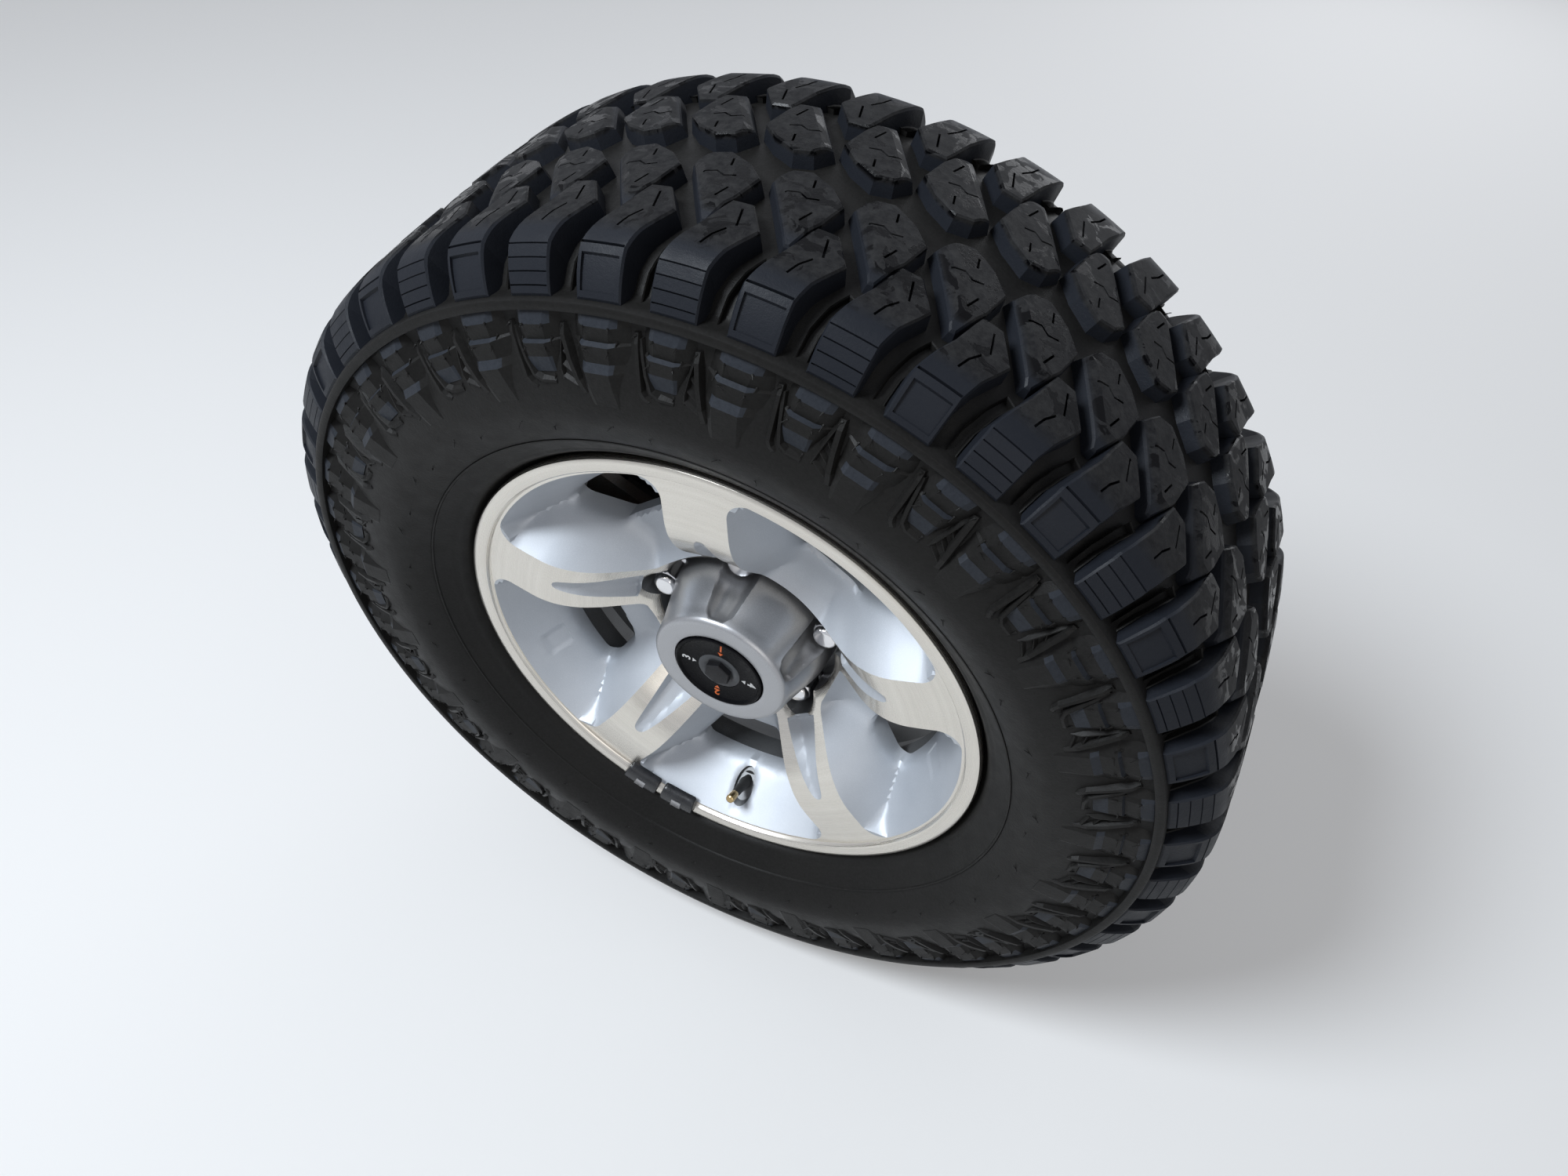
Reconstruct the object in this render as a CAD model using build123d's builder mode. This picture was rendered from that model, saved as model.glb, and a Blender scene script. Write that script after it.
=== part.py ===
# Front wheel of an off-road vehicle, with the hub, brake and steering knuckle that carry it.
# Millimetres. X is forward, +Y runs inboard along the wheel's axis, +Z is up. The origin is
# where the kingpin axis crosses the wheel's axis. Depths are measured inboard from the outer
# plane of the rim, and sections are drawn as (radius, depth).
import os
from math import atan2, cos, degrees, pi, radians, sin, sqrt, tan

from build123d import *

os.makedirs("parts", exist_ok=True)

# Layout along the wheel's axis, as depths behind the rim's outer plane
knuckle_depth = 222.0
rim_width = 229.0
wheel_offset = 5.0
rim_middle = rim_width / 2
mount_face = rim_middle - wheel_offset
kingpin_lean = 13.0

# Rim, its radii from the bead seat's
seat_r = 202.8
flange_height = 17.2
flange_r = seat_r + flange_height
flange_wall = 12.9
flange_curl = 9.0
flange_curl_half = 2.6
flange_edge = 3.0
flange_chamfer = 2.3
seat_length = 21.0
seat_drop = 1.8
well_r = seat_r - 18.8
well_start = 48.0
well_end = 84.0
barrel_r = seat_r - 6.8
barrel_start = 104.0
barrel_slope = 14.0
barrel_wall = 5.5
lip_step_r = seat_r + 3.2
lip_step = 4.0
face_depth = 4.5
face_flat_r = seat_r - 37.8
face_arc_r = face_flat_r - 47.0
face_arc_depth = 23.0
pad_web = 23.5
pad_face = mount_face - pad_web
pad_opening_r = 78.0
pad_opening_depth = pad_face - 26.0
pad_r = 92.0
pad_back_depth = pad_face + 2.0
centre_bore_r = 55.0
overshoot = 10.0

# Spokes, pockets and windows
spoke_count = 5
first_spoke = 20.0
pitch_angle = 360.0 / spoke_count
spoke_half_width = 25.0
spoke_draft = 3.0
pocket_r = seat_r + 1.2
pocket_depth = 8.0
pocket_corner = 14.0
window_setback = 70.0
window_outer_r = pocket_r - window_setback
window_outer_depth = 30.0
window_inner_r = 94.0
pocket_inner_r = window_inner_r - 8.0
window_corner = 8.0
floor_wall = 10.0
channel_setback = 54.0
channel_tip_r = pocket_r - channel_setback
channel_tip_half = 5.5
channel_tip_corner = 4.5
channel_root_half = 15.5
channel_depth = 9.0
channel_run_out = 3.0

# Wheel nuts and studs
nut_circle_r = 75.0
nut_length = 29.0
nut_tip_depth = pad_face - nut_length
nut_flats = 21.0
nut_washer_r = 14.5
nut_washer_thick = 3.0
nut_dome = 5.0
nut_shank_r = 10.0
nut_shank_length = 14.0
nut_well_r = 17.0
stud_r = 7.0
stud_proud = 16.0
stud_end = pad_face - stud_proud
shank_clearance = 0.5
thread_clearance = 0.2

# Tyre, its tread set down from the outer radius and its sidewall up from the bead seat
tyre_r = 388.5
tyre_half_width = 141.8
bead_clearance = 0.3
bead_length = 20.0
belly_height = 77.2
buttress_drop = 52.5
buttress_relief = 13.8
sidewall = 9.5
tread_wall = 14.5
inner_flats = 23

# Tread, its pieces standing on a flat floor for each pitch
lug_count = 46
tread_phase = 90.9
tread_depth = 12.5
tread_half_width = 112.0
tread_edge_drop = 5.0
crown_half_width = 50.0
crown_drop = 0.8
floor_half_width = 88.0
shoulder_drop = 42.5
shoulder_relief = 7.8
lug_root = 8.0
row_shift = 0.043
lug_table = (
    # first copy, share of the sidewall's flat at which it ends
    (0, 0.05),
    (1, 0.40),
)
# Corners of the tread's pieces, as (shares of a pitch, shares of the tread's half width)
lug_plan = ((-0.81, -0.49), (-0.27, -0.65), (-0.64, -1.34), (-1.24, -1.34))
block_plan = ((0.0, -0.674), (0.292, -0.277), (-0.254, -0.08), (-0.622, -0.223))

# Centre cap
cap_face_depth = 12.0
cap_face_r = 58.0
cap_base_r = 72.0
cap_base_depth = pad_face - 24.0
cap_edge = 3.5
cap_wall = 3.0
cap_seat_clearance = 0.3
flute_front_depth = 17.0
flute_r = 22.0
flute_clearance = 2.3
flute_base_r = nut_washer_r + flute_clearance

# Locking hub and its dial
dial_r = 38.0
dial_face_depth = 11.0
dial_clearance = 0.8
dial_ring_thick = 8.0
dial_floor = 2.0
dial_collar_r = 18.0
knob_r = 12.0
knob_height = 3.0
lock_body_r = 37.0
lock_wall = 7.0
lock_flange_r = 50.0
lock_flange_thick = 10.0

# Wheel hub
spigot_clearance = 0.25
spigot_proud = 6.0
hub_front = pad_face - spigot_proud
hub_flange_r = 84.0
hub_flange_thick = 12.0
hub_body_r = 58.0
hub_length = 70.0
hub_end = hub_front + hub_length
bearing_table = (
    # start behind the mounting face, length, outer radius, journal radius
    (-23.5, 18.0, 38.0, 24.8),
    (18.5, 18.0, 42.0, 29.8),
)
bearing_clearance = 0.1
journal_clearance = 0.3
hub_inner_r = 34.0

# Brake disc, as large as the caliper in the rim's barrel leaves room for
caliper_clearance = 12.5
caliper_outer_r = barrel_r - barrel_wall - caliper_clearance
caliper_bridge = 22.0
disc_r = caliper_outer_r - caliper_bridge
disc_inner_r = 95.0
disc_plate = 10.0
disc_gap = 12.0
disc_offset = 18.5
disc_start = mount_face + disc_offset
disc_web = 7.0
disc_flange_inner_r = 61.0
vane_count = 30
vane_thick = 5.0

# Stub axle
shaft_bore_r = 19.0
axle_setback = 8.0
axle_front = hub_front - axle_setback
axle_flange_r = 62.0
axle_flange_gap = 5.0
axle_flange_start = hub_end + axle_flange_gap
axle_flange_thick = 10.0
axle_flange_end = axle_flange_start + axle_flange_thick

# Dust shield
shield_thick = 2.0
shield_margin = 4.0
shield_r = disc_r + shield_margin
shield_cut_half = 48.0
shield_cut_margin = 12.0

# Steering knuckle
ball_cavity_r = 62.0
cup_wall = 11.0
cup_mouth = knuckle_depth + 23
cup_front_r = 66.0
cup_front_hole_r = 32.0
kingpin_bore_r = 15.0
kingpin_boss_r = 25.0
kingpin_boss_end = 84.0
kingpin_boss_start = 50.0
mouth_r = 60.0
mouth_half = sqrt(ball_cavity_r**2 - mouth_r**2)
cavity_front = sqrt(ball_cavity_r**2 - cup_front_hole_r**2)

# Steering arm and caliper ears on the knuckle
arm_length = 150.0
arm_half_width = 15.0
arm_thick = 22.0
arm_drop = 80.0
arm_inboard = 4.0
tie_rod_hole_r = 8.0
tie_rod_boss_r = 19.0
ear_setback = 11.0
ear_start = axle_flange_end + ear_setback
ear_thick = 14.0
ear_r = 124.0
ear_angle = 36.0
ear_half_width = 15.0

# Brake caliper and pads
caliper_angle = 180.0
caliper_half_angle = 26.0
caliper_inner_r = 100.0
caliper_arm = 24.0
caliper_front = disc_start - caliper_arm
caliper_ear_thick = 10.0
ear_bridge = 24.0
disc_running_gap = 5.0
pad_running_gap = 0.5
pad_thick = 12.0
slot_side = 12.8
pad_inner_r = 104.0
pad_margin = 4.0
pad_outer_r = disc_r - pad_margin
pad_half_angle = 22.0

# Valve and balance weights
valve_angle = 272.5
valve_base_r = seat_r - 12.8
valve_base_depth = 41.0
valve_tip_r = seat_r - 30.8
valve_tip_depth = 3.0
valve_stem_r = 4.0
valve_grommet_r = 7.5
valve_head_thick = 3.0
valve_hole_clearance = 0.3
valve_slot_half = 10.0
valve_slot_inner_r = seat_r - 42.8
valve_slot_outer_r = seat_r - 8.8
valve_slot_depth = 31.0
weight_angles = (247.0, 257.5)
weight_arc = 9.4
weight_inner_r = lip_step_r - 10.0
weight_outer_r = flange_r - lip_step
weight_proud = 6.0
weight_clearance = 0.3


def depth(value):
    """Y of a depth behind the rim's outer plane."""
    return value - knuckle_depth


def section_plane(angle=0.0):
    """Plane through the wheel's axis: local x is the radius and local y the depth."""
    return Plane(
        origin=(0, depth(0), 0),
        x_dir=(cos(radians(angle)), 0, sin(radians(angle))),
        z_dir=(-sin(radians(angle)), 0, cos(radians(angle))),
    )


def face_plane(at_depth, angle=0.0):
    """Plane across the wheel's axis, seen from outside, with local x at an angle from forward."""
    return Plane(
        origin=(0, depth(at_depth), 0),
        x_dir=(cos(radians(angle)), 0, sin(radians(angle))),
        z_dir=(0, -1, 0),
    )


def ring_section(inner, outer, start, end):
    """Rectangle between two radii and two depths."""
    with BuildSketch(section_plane()) as ring:
        with BuildLine():
            Polyline((inner, start), (outer, start), (outer, end), (inner, end), close=True)
        make_face()
    return ring.sketch


def sector_outline(inner, outer, half_angle, middle, at_depth):
    """Ring sector about the axis, in a face plane."""
    first = middle - half_angle
    with BuildSketch(face_plane(at_depth)) as sector:
        with BuildLine():
            low = CenterArc((0, 0), inner, first, 2 * half_angle)
            high = CenterArc((0, 0), outer, first, 2 * half_angle)
            Line(low @ 0, high @ 0)
            Line(low @ 1, high @ 1)
        make_face()
    return sector.sketch


def gap_outline(half_width, inner, outer, corner, middle, at_depth):
    """Space between two parallel-sided spokes, about one angle of a face plane."""
    lean = radians(pitch_angle / 2)
    corners = []
    for radius in (inner, outer):
        along = sqrt(radius**2 - half_width**2)
        across = half_width
        corners.append(
            (
                along * cos(lean) + across * sin(lean),
                along * sin(lean) - across * cos(lean),
            )
        )
    (inner_x, inner_y), (outer_x, outer_y) = corners
    with BuildSketch(face_plane(at_depth, middle)) as gap:
        with BuildLine():
            Line((inner_x, -inner_y), (outer_x, -outer_y))
            ThreePointArc((outer_x, -outer_y), (outer, 0), (outer_x, outer_y))
            Line((outer_x, outer_y), (inner_x, inner_y))
            ThreePointArc((inner_x, inner_y), (inner, 0), (inner_x, -inner_y))
        make_face()
        fillet(gap.vertices(), radius=corner)
    return gap.sketch


def channel_outline(angle):
    """Channel down one spoke, narrower to its rounded tip."""
    with BuildSketch(face_plane(-overshoot, angle)) as outline:
        with BuildLine():
            Polyline(
                (pad_opening_r, -channel_root_half),
                (channel_tip_r, -channel_tip_half),
                (channel_tip_r, channel_tip_half),
                (pad_opening_r, channel_root_half),
                close=True,
            )
        make_face()
        fillet(outline.vertices().group_by(Axis.X)[-1], radius=channel_tip_corner)
    return outline.sketch


def flat_ring(points, count, turn=0.0):
    """Ring as flat-sided pieces, each a section drawn out between two planes through the axis."""
    half = radians(180 / count)
    reach = 1.1 * tyre_r
    with BuildPart() as piece:
        with BuildSketch(section_plane(90)):
            with BuildLine():
                Polyline(*points, close=True)
            make_face()
        extrude(amount=reach * tan(half), both=True)
        with BuildSketch(face_plane(-rim_width, 90)):
            with BuildLine():
                Polyline((0, 0), (reach, -reach * tan(half)), (reach, reach * tan(half)), close=True)
            make_face()
        extrude(amount=-3 * rim_width, mode=Mode.INTERSECT)
    return [piece.part.rotate(wheel_axis, index * 360 / count + turn) for index in range(count)]


def tread_piece(points, plan, side):
    """Section cut to a plan seen from above the tyre, turned to its place in the first pitch.

    The far side is the near side turned half a turn about the tread's middle line.
    """
    corners = []
    for along, across in plan:
        if side > 0:
            along = 2 * row_shift - along
        corners.append((along * pitch_length, -side * across * tread_half_width))
    middle = sum(along for along, across in corners) / len(corners)
    plan_plane = Plane(origin=(0, depth(rim_middle), 0), x_dir=(1, 0, 0), z_dir=(0, 0, 1))
    with BuildPart() as piece:
        with BuildSketch(section_plane(90)):
            with BuildLine():
                Polyline(*points, close=True)
            make_face()
        extrude(amount=2 * pitch_length, both=True)
        with BuildSketch(plan_plane):
            with BuildLine():
                Polyline(*[(along - middle, across) for along, across in corners], close=True)
            make_face()
        extrude(amount=2 * tyre_r, mode=Mode.INTERSECT)
    return piece.part.rotate(wheel_axis, tread_turn + degrees(middle / tyre_r))


def on_circle(radius, angle):
    """Point of a face plane at a radius and an angle."""
    return (radius * cos(radians(angle)), radius * sin(radians(angle)))


wheel_axis = Axis((0, 0, 0), (0, 1, 0))
spoke_angles = [first_spoke + index * pitch_angle for index in range(spoke_count)]
pocket_angles = [angle + pitch_angle / 2 for angle in spoke_angles]
far_side = rim_width - flange_wall
lip_depth = face_depth + 0.5
disc_end = disc_start + 2 * disc_plate + disc_gap
caliper_back = disc_end + caliper_arm
hub_flange_back = mount_face + hub_flange_thick

# Tyre valve's axis, from its head on the barrel's wall to its tip in one pocket
valve_base = section_plane(valve_angle).from_local_coords((valve_base_r, valve_base_depth, 0))
valve_tip = section_plane(valve_angle).from_local_coords((valve_tip_r, valve_tip_depth, 0))
valve_plane = Plane(origin=valve_base, z_dir=valve_tip - valve_base)
valve_length = (valve_tip - valve_base).length

# Rim: one casting of barrel, dished face and hub pad
with BuildPart() as rim:
    with BuildSketch(section_plane()):
        with BuildLine():
            Polyline(
                (lip_step_r, lip_depth),
                (lip_step_r + 2, 1),
                (flange_r - lip_step, 0),
                (flange_r, flange_edge),
                (flange_r, 2 * flange_edge),
                (flange_r - flange_curl_half, flange_wall - flange_chamfer),
                (flange_r - flange_curl, flange_wall),
                (seat_r, flange_wall),
                (seat_r - seat_drop, flange_wall + seat_length),
                (well_r, well_start),
                (well_r, well_end),
                (barrel_r, barrel_start),
                (barrel_r, far_side - seat_length - barrel_slope),
                (seat_r - seat_drop, far_side - seat_length),
                (seat_r, far_side),
                (flange_r - flange_curl, far_side),
                (flange_r - flange_curl_half, far_side + flange_chamfer),
                (flange_r, rim_width - 2 * flange_edge),
                (flange_r, rim_width - flange_edge),
                (flange_r - lip_step, rim_width),
                (lip_step_r + 2, rim_width - 1),
                (seat_r - barrel_wall, far_side),
                (seat_r - seat_drop - barrel_wall, far_side - seat_length),
                (barrel_r - barrel_wall, far_side - seat_length - barrel_slope),
                (barrel_r - barrel_wall, barrel_start),
                (well_r - barrel_wall, well_end),
                (well_r - barrel_wall, window_outer_depth),
                (window_outer_r, window_outer_depth + floor_wall),
                (pad_r, pad_back_depth),
                (pad_r, mount_face),
                (centre_bore_r, mount_face),
                (centre_bore_r, pad_face),
                (pad_opening_r, pad_face),
                (pad_opening_r, pad_opening_depth),
                (face_arc_r, face_arc_depth),
            )
            TangentArc((face_flat_r, face_depth), (face_arc_r, face_arc_depth), tangent=(-1, 0))
            Line((face_flat_r, face_depth), (lip_step_r, lip_depth))
        make_face()
    revolve(axis=wheel_axis)

    for angle in pocket_angles:
        with BuildPart(mode=Mode.PRIVATE) as pocket:
            with BuildSketch(section_plane()):
                with BuildLine():
                    Polyline(
                        (pad_opening_r, -overshoot),
                        (pocket_r + overshoot, -overshoot),
                        (pocket_r + overshoot, pocket_depth),
                        (pocket_r, pocket_depth),
                        (window_outer_r, window_outer_depth),
                        (pad_opening_r, pad_face),
                        close=True,
                    )
                make_face()
            revolve(axis=wheel_axis)
            outline = gap_outline(
                spoke_half_width, pocket_inner_r, pocket_r, pocket_corner, angle, -overshoot
            )
            extrude(outline, amount=-rim_width, mode=Mode.INTERSECT)
        add(pocket.part, mode=Mode.SUBTRACT)
        window = gap_outline(
            spoke_half_width + spoke_draft,
            window_inner_r,
            window_outer_r,
            window_corner,
            angle,
            -overshoot,
        )
        extrude(window, amount=-mount_face - 2 * overshoot, mode=Mode.SUBTRACT)

    for angle in spoke_angles:
        with BuildPart(mode=Mode.PRIVATE) as channel:
            with BuildSketch(section_plane()):
                with BuildLine():
                    Polyline(
                        (pad_opening_r, -overshoot),
                        (channel_tip_r + overshoot, -overshoot),
                        (channel_tip_r + overshoot, face_depth),
                        (channel_tip_r, face_depth + channel_run_out),
                        (face_arc_r, face_arc_depth + channel_depth),
                        (pad_opening_r, pad_opening_depth + channel_depth),
                        close=True,
                    )
                make_face()
            revolve(axis=wheel_axis)
            extrude(channel_outline(angle), amount=-rim_width, mode=Mode.INTERSECT)
        add(channel.part, mode=Mode.SUBTRACT)
        with BuildSketch(face_plane(0)):
            with Locations(on_circle(nut_circle_r, angle)):
                Circle(nut_shank_r + shank_clearance)
        extrude(amount=-mount_face, mode=Mode.SUBTRACT)
        with BuildSketch(face_plane(0)):
            with Locations(on_circle(nut_circle_r, angle)):
                Circle(nut_well_r)
        extrude(amount=-pad_face, mode=Mode.SUBTRACT)

    slot_middle = (valve_slot_inner_r + valve_slot_outer_r) / 2
    with BuildSketch(face_plane(0, valve_angle)):
        with Locations((slot_middle, 0)):
            SlotOverall(valve_slot_outer_r - valve_slot_inner_r, 2 * valve_slot_half)
    extrude(amount=-valve_slot_depth, mode=Mode.SUBTRACT)
    with BuildSketch(valve_plane):
        Circle(valve_stem_r + valve_hole_clearance)
    extrude(amount=valve_length, mode=Mode.SUBTRACT)
    with BuildSketch(valve_plane):
        Circle(valve_grommet_r + valve_hole_clearance)
    extrude(amount=-3 * valve_head_thick, mode=Mode.SUBTRACT)
rim.part.label = "rim"
export_step(rim.part, "parts/rim.step")

# Tyre: a carcass round its air space, beads against the rim's flanges, with staggered blocks
# and lugs. All its faces are flat.
bead_r = seat_r + bead_clearance
bead_half = rim_middle - flange_wall - bead_clearance
toe_half = bead_half - bead_length
belly_r = seat_r + belly_height
buttress_r = tyre_r - buttress_drop
buttress_half = tyre_half_width - buttress_relief
floor_r = tyre_r - tread_depth
inner_r = floor_r - tread_wall
root_r = floor_r - lug_root
crown_r = tyre_r - crown_drop
pitch_length = 2 * pi * tyre_r / lug_count
lug_pitch = 360 / lug_count
tread_turn = 90 - tread_phase
# The floor's flats meet in the gap between two middle blocks
floor_turn = tread_turn + lug_pitch * (block_plan[1][0] + block_plan[3][0]) / 2

carcass_points = [
    (bead_r - overshoot, rim_middle - bead_half),
    (flange_r - lip_step, rim_middle - bead_half),
    (belly_r, rim_middle - tyre_half_width),
    (buttress_r, rim_middle - buttress_half),
    (floor_r, rim_middle - floor_half_width),
    (floor_r, rim_middle + floor_half_width),
    (buttress_r, rim_middle + buttress_half),
    (belly_r, rim_middle + tyre_half_width),
    (flange_r - lip_step, rim_middle + bead_half),
    (bead_r - overshoot, rim_middle + bead_half),
]
air_points = [
    (bead_r - overshoot, rim_middle - toe_half),
    (bead_r, rim_middle - toe_half),
    (belly_r, rim_middle - tyre_half_width + 2 * sidewall),
    (buttress_r, rim_middle - buttress_half + sidewall),
    (inner_r, rim_middle - floor_half_width),
    (inner_r, rim_middle + floor_half_width),
    (buttress_r, rim_middle + buttress_half - sidewall),
    (belly_r, rim_middle + tyre_half_width - 2 * sidewall),
    (bead_r, rim_middle + toe_half),
    (bead_r - overshoot, rim_middle + toe_half),
]
bore_points = [
    (bead_r - 2 * overshoot, rim_middle - rim_width),
    (bead_r, rim_middle - rim_width),
    (bead_r, rim_middle + rim_width),
    (bead_r - 2 * overshoot, rim_middle + rim_width),
]
tread_pieces = []
for side in (-1, 1):
    block_points = [
        (root_r, rim_middle),
        (crown_r, rim_middle),
        (crown_r, rim_middle + side * tread_half_width),
        (root_r, rim_middle + side * tread_half_width),
    ]
    block = tread_piece(block_points, block_plan, side)
    tread_pieces += [block.rotate(wheel_axis, index * lug_pitch) for index in range(lug_count)]
    for first, end_share in lug_table:
        end_r = belly_r + end_share * (buttress_r - belly_r)
        end_half = tyre_half_width + end_share * (buttress_half - tyre_half_width)
        lug_points = [
            (end_r, rim_middle + side * end_half),
            (tyre_r - shoulder_drop, rim_middle + side * (tyre_half_width - shoulder_relief)),
            (tyre_r - tread_edge_drop, rim_middle + side * tread_half_width),
            (crown_r, rim_middle + side * crown_half_width),
            (root_r, rim_middle + side * crown_half_width),
            (root_r, rim_middle + side * (floor_half_width - lug_root)),
            (buttress_r, rim_middle + side * (buttress_half - lug_root)),
        ]
        lug = tread_piece(lug_points, lug_plan, side)
        tread_pieces += [lug.rotate(wheel_axis, index * lug_pitch) for index in range(first, lug_count, 2)]

with BuildPart() as tyre:
    add(flat_ring(carcass_points, lug_count, floor_turn) + tread_pieces)
    add(flat_ring(air_points, inner_flats) + flat_ring(bore_points, inner_flats), mode=Mode.SUBTRACT)
tyre.part.label = "tyre"
export_step(tyre.part, "parts/tyre.step")

# Centre cap: a shroud with a closed flute for each wheel nut, open in front for the dial
cap_seat_depth = pad_face - cap_seat_clearance
flute_length = pad_face - flute_front_depth
flute_taper = degrees(atan2(flute_r - flute_base_r, flute_length))
cap_sections = (
    # wall left inside the outer form, section of that form
    (
        0,
        (
            (0, cap_face_depth),
            (cap_face_r - cap_edge, cap_face_depth),
            (cap_face_r, cap_face_depth + cap_edge),
            (cap_base_r, cap_base_depth),
            (cap_base_r, cap_seat_depth),
            (0, cap_seat_depth),
        ),
    ),
    (
        cap_wall,
        (
            (0, cap_face_depth + cap_wall),
            (cap_face_r - cap_edge - cap_wall, cap_face_depth + cap_wall),
            (cap_base_r - cap_wall, cap_base_depth),
            (cap_base_r - cap_wall, cap_seat_depth),
            (0, cap_seat_depth),
        ),
    ),
)
cap_forms = []
for wall, points in cap_sections:
    with BuildPart() as form:
        with BuildSketch(section_plane()):
            with BuildLine():
                Polyline(*points, close=True)
            make_face()
        revolve(axis=wheel_axis)
        for angle in spoke_angles:
            with BuildSketch(-face_plane(flute_front_depth - wall, angle)):
                with Locations((nut_circle_r, 0)):
                    Circle(flute_r + wall)
            extrude(amount=flute_length + wall, taper=flute_taper, mode=Mode.SUBTRACT)
    cap_forms.append(form.part)
with BuildPart() as centre_cap:
    add(cap_forms[0])
    add(cap_forms[1], mode=Mode.SUBTRACT)
    with BuildSketch(face_plane(cap_face_depth)):
        Circle(dial_r + dial_clearance)
    extrude(amount=-2 * cap_wall, mode=Mode.SUBTRACT)
centre_cap.part.label = "centre_cap"
export_step(centre_cap.part, "parts/centre_cap.step")

# Locking hub: cup that joins the drive shaft to the hub, its dial in the front
with BuildPart() as locking_hub:
    with BuildSketch(section_plane()):
        with BuildLine():
            Polyline(
                (0, dial_face_depth + dial_ring_thick),
                (lock_body_r, dial_face_depth + dial_ring_thick),
                (lock_body_r, hub_front - lock_flange_thick),
                (lock_flange_r, hub_front - lock_flange_thick),
                (lock_flange_r, hub_front),
                (lock_body_r - lock_wall, hub_front),
                (lock_body_r - lock_wall, dial_face_depth + dial_ring_thick + lock_wall),
                (0, dial_face_depth + dial_ring_thick + lock_wall),
                close=True,
            )
        make_face()
    revolve(axis=wheel_axis)
locking_hub.part.label = "locking_hub"
export_step(locking_hub.part, "parts/locking_hub.step")

# Dial ring with a raised collar, and the hexagonal knob in it
with BuildPart() as dial_ring:
    with BuildSketch(section_plane()):
        with BuildLine():
            Polyline(
                (0, dial_face_depth + 2),
                (dial_r - 2.5, dial_face_depth + 2),
                (dial_r - 1.5, dial_face_depth),
                (dial_r, dial_face_depth + 0.5),
                (dial_r, dial_face_depth + dial_ring_thick),
                (0, dial_face_depth + dial_ring_thick),
                close=True,
            )
        make_face()
    revolve(axis=wheel_axis)
dial_ring.part.label = "dial_ring"
export_step(dial_ring.part, "parts/dial_ring.step")

with BuildPart() as dial_knob:
    with BuildSketch(face_plane(dial_face_depth + dial_floor)):
        Circle(dial_collar_r)
    extrude(amount=dial_floor)
    with BuildSketch(face_plane(dial_face_depth)):
        RegularPolygon(knob_r, 6)
    extrude(amount=knob_height)
dial_knob.part.label = "dial_knob"
export_step(dial_knob.part, "parts/dial_knob.step")

# Wheel nuts: washer, hexagon and domed end, shank in the rim's hole, threaded through
with BuildPart() as wheel_nuts:
    for angle in spoke_angles:
        with BuildSketch(face_plane(pad_face)):
            with Locations(on_circle(nut_circle_r, angle)):
                Circle(nut_washer_r)
        extrude(amount=nut_washer_thick)
        with BuildSketch(face_plane(pad_face)):
            with Locations(on_circle(nut_circle_r, angle)):
                RegularPolygon(nut_flats / 2, 6, major_radius=False)
        extrude(amount=pad_face - nut_tip_depth - nut_dome)
        with BuildSketch(face_plane(nut_tip_depth + nut_dome)):
            with Locations(on_circle(nut_circle_r, angle)):
                Circle(nut_flats / 2)
        extrude(amount=nut_dome, taper=20)
        with BuildSketch(face_plane(pad_face)):
            with Locations(on_circle(nut_circle_r, angle)):
                Circle(nut_shank_r)
        extrude(amount=-nut_shank_length)
        with BuildSketch(face_plane(mount_face)):
            with Locations(on_circle(nut_circle_r, angle)):
                Circle(stud_r + thread_clearance)
        extrude(amount=mount_face - stud_end + 1, mode=Mode.SUBTRACT)
wheel_nuts.part.label = "wheel_nuts"
export_step(wheel_nuts.part, "parts/wheel_nuts.step")

(front_offset, front_length, front_seat, front_journal) = bearing_table[0]
(rear_offset, rear_length, rear_seat, rear_journal) = bearing_table[1]
front_end = mount_face + front_offset + front_length
rear_start = mount_face + rear_offset
rear_end = rear_start + rear_length

# Hub: spigot, flange with its studs and the body over the bearings
with BuildPart() as hub:
    with BuildSketch(section_plane()):
        with BuildLine():
            Polyline(
                (front_seat, hub_front),
                (centre_bore_r - spigot_clearance, hub_front),
                (centre_bore_r - spigot_clearance, mount_face),
                (hub_flange_r, mount_face),
                (hub_flange_r, hub_flange_back),
                (hub_body_r, hub_flange_back),
                (hub_body_r, hub_end),
                (rear_seat, hub_end),
                (rear_seat, rear_start),
                (hub_inner_r, rear_start),
                (hub_inner_r, front_end),
                (front_seat, front_end),
                close=True,
            )
        make_face()
    revolve(axis=wheel_axis)
    for angle in spoke_angles:
        with BuildSketch(face_plane(hub_flange_back)):
            with Locations(on_circle(nut_circle_r, angle)):
                Circle(stud_r)
        extrude(amount=hub_flange_back - stud_end)
hub.part.label = "hub"
export_step(hub.part, "parts/hub.step")

# Wheel bearings, pressed into the hub and turning on the axle's journals
with BuildPart() as wheel_bearings:
    for offset, length, seat, journal in bearing_table:
        start = mount_face + offset
        end = start + length - bearing_clearance
        section = ring_section(journal + journal_clearance, seat - bearing_clearance, start, end)
        revolve(section, axis=wheel_axis)
wheel_bearings.part.label = "wheel_bearings"
export_step(wheel_bearings.part, "parts/wheel_bearings.step")

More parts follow.
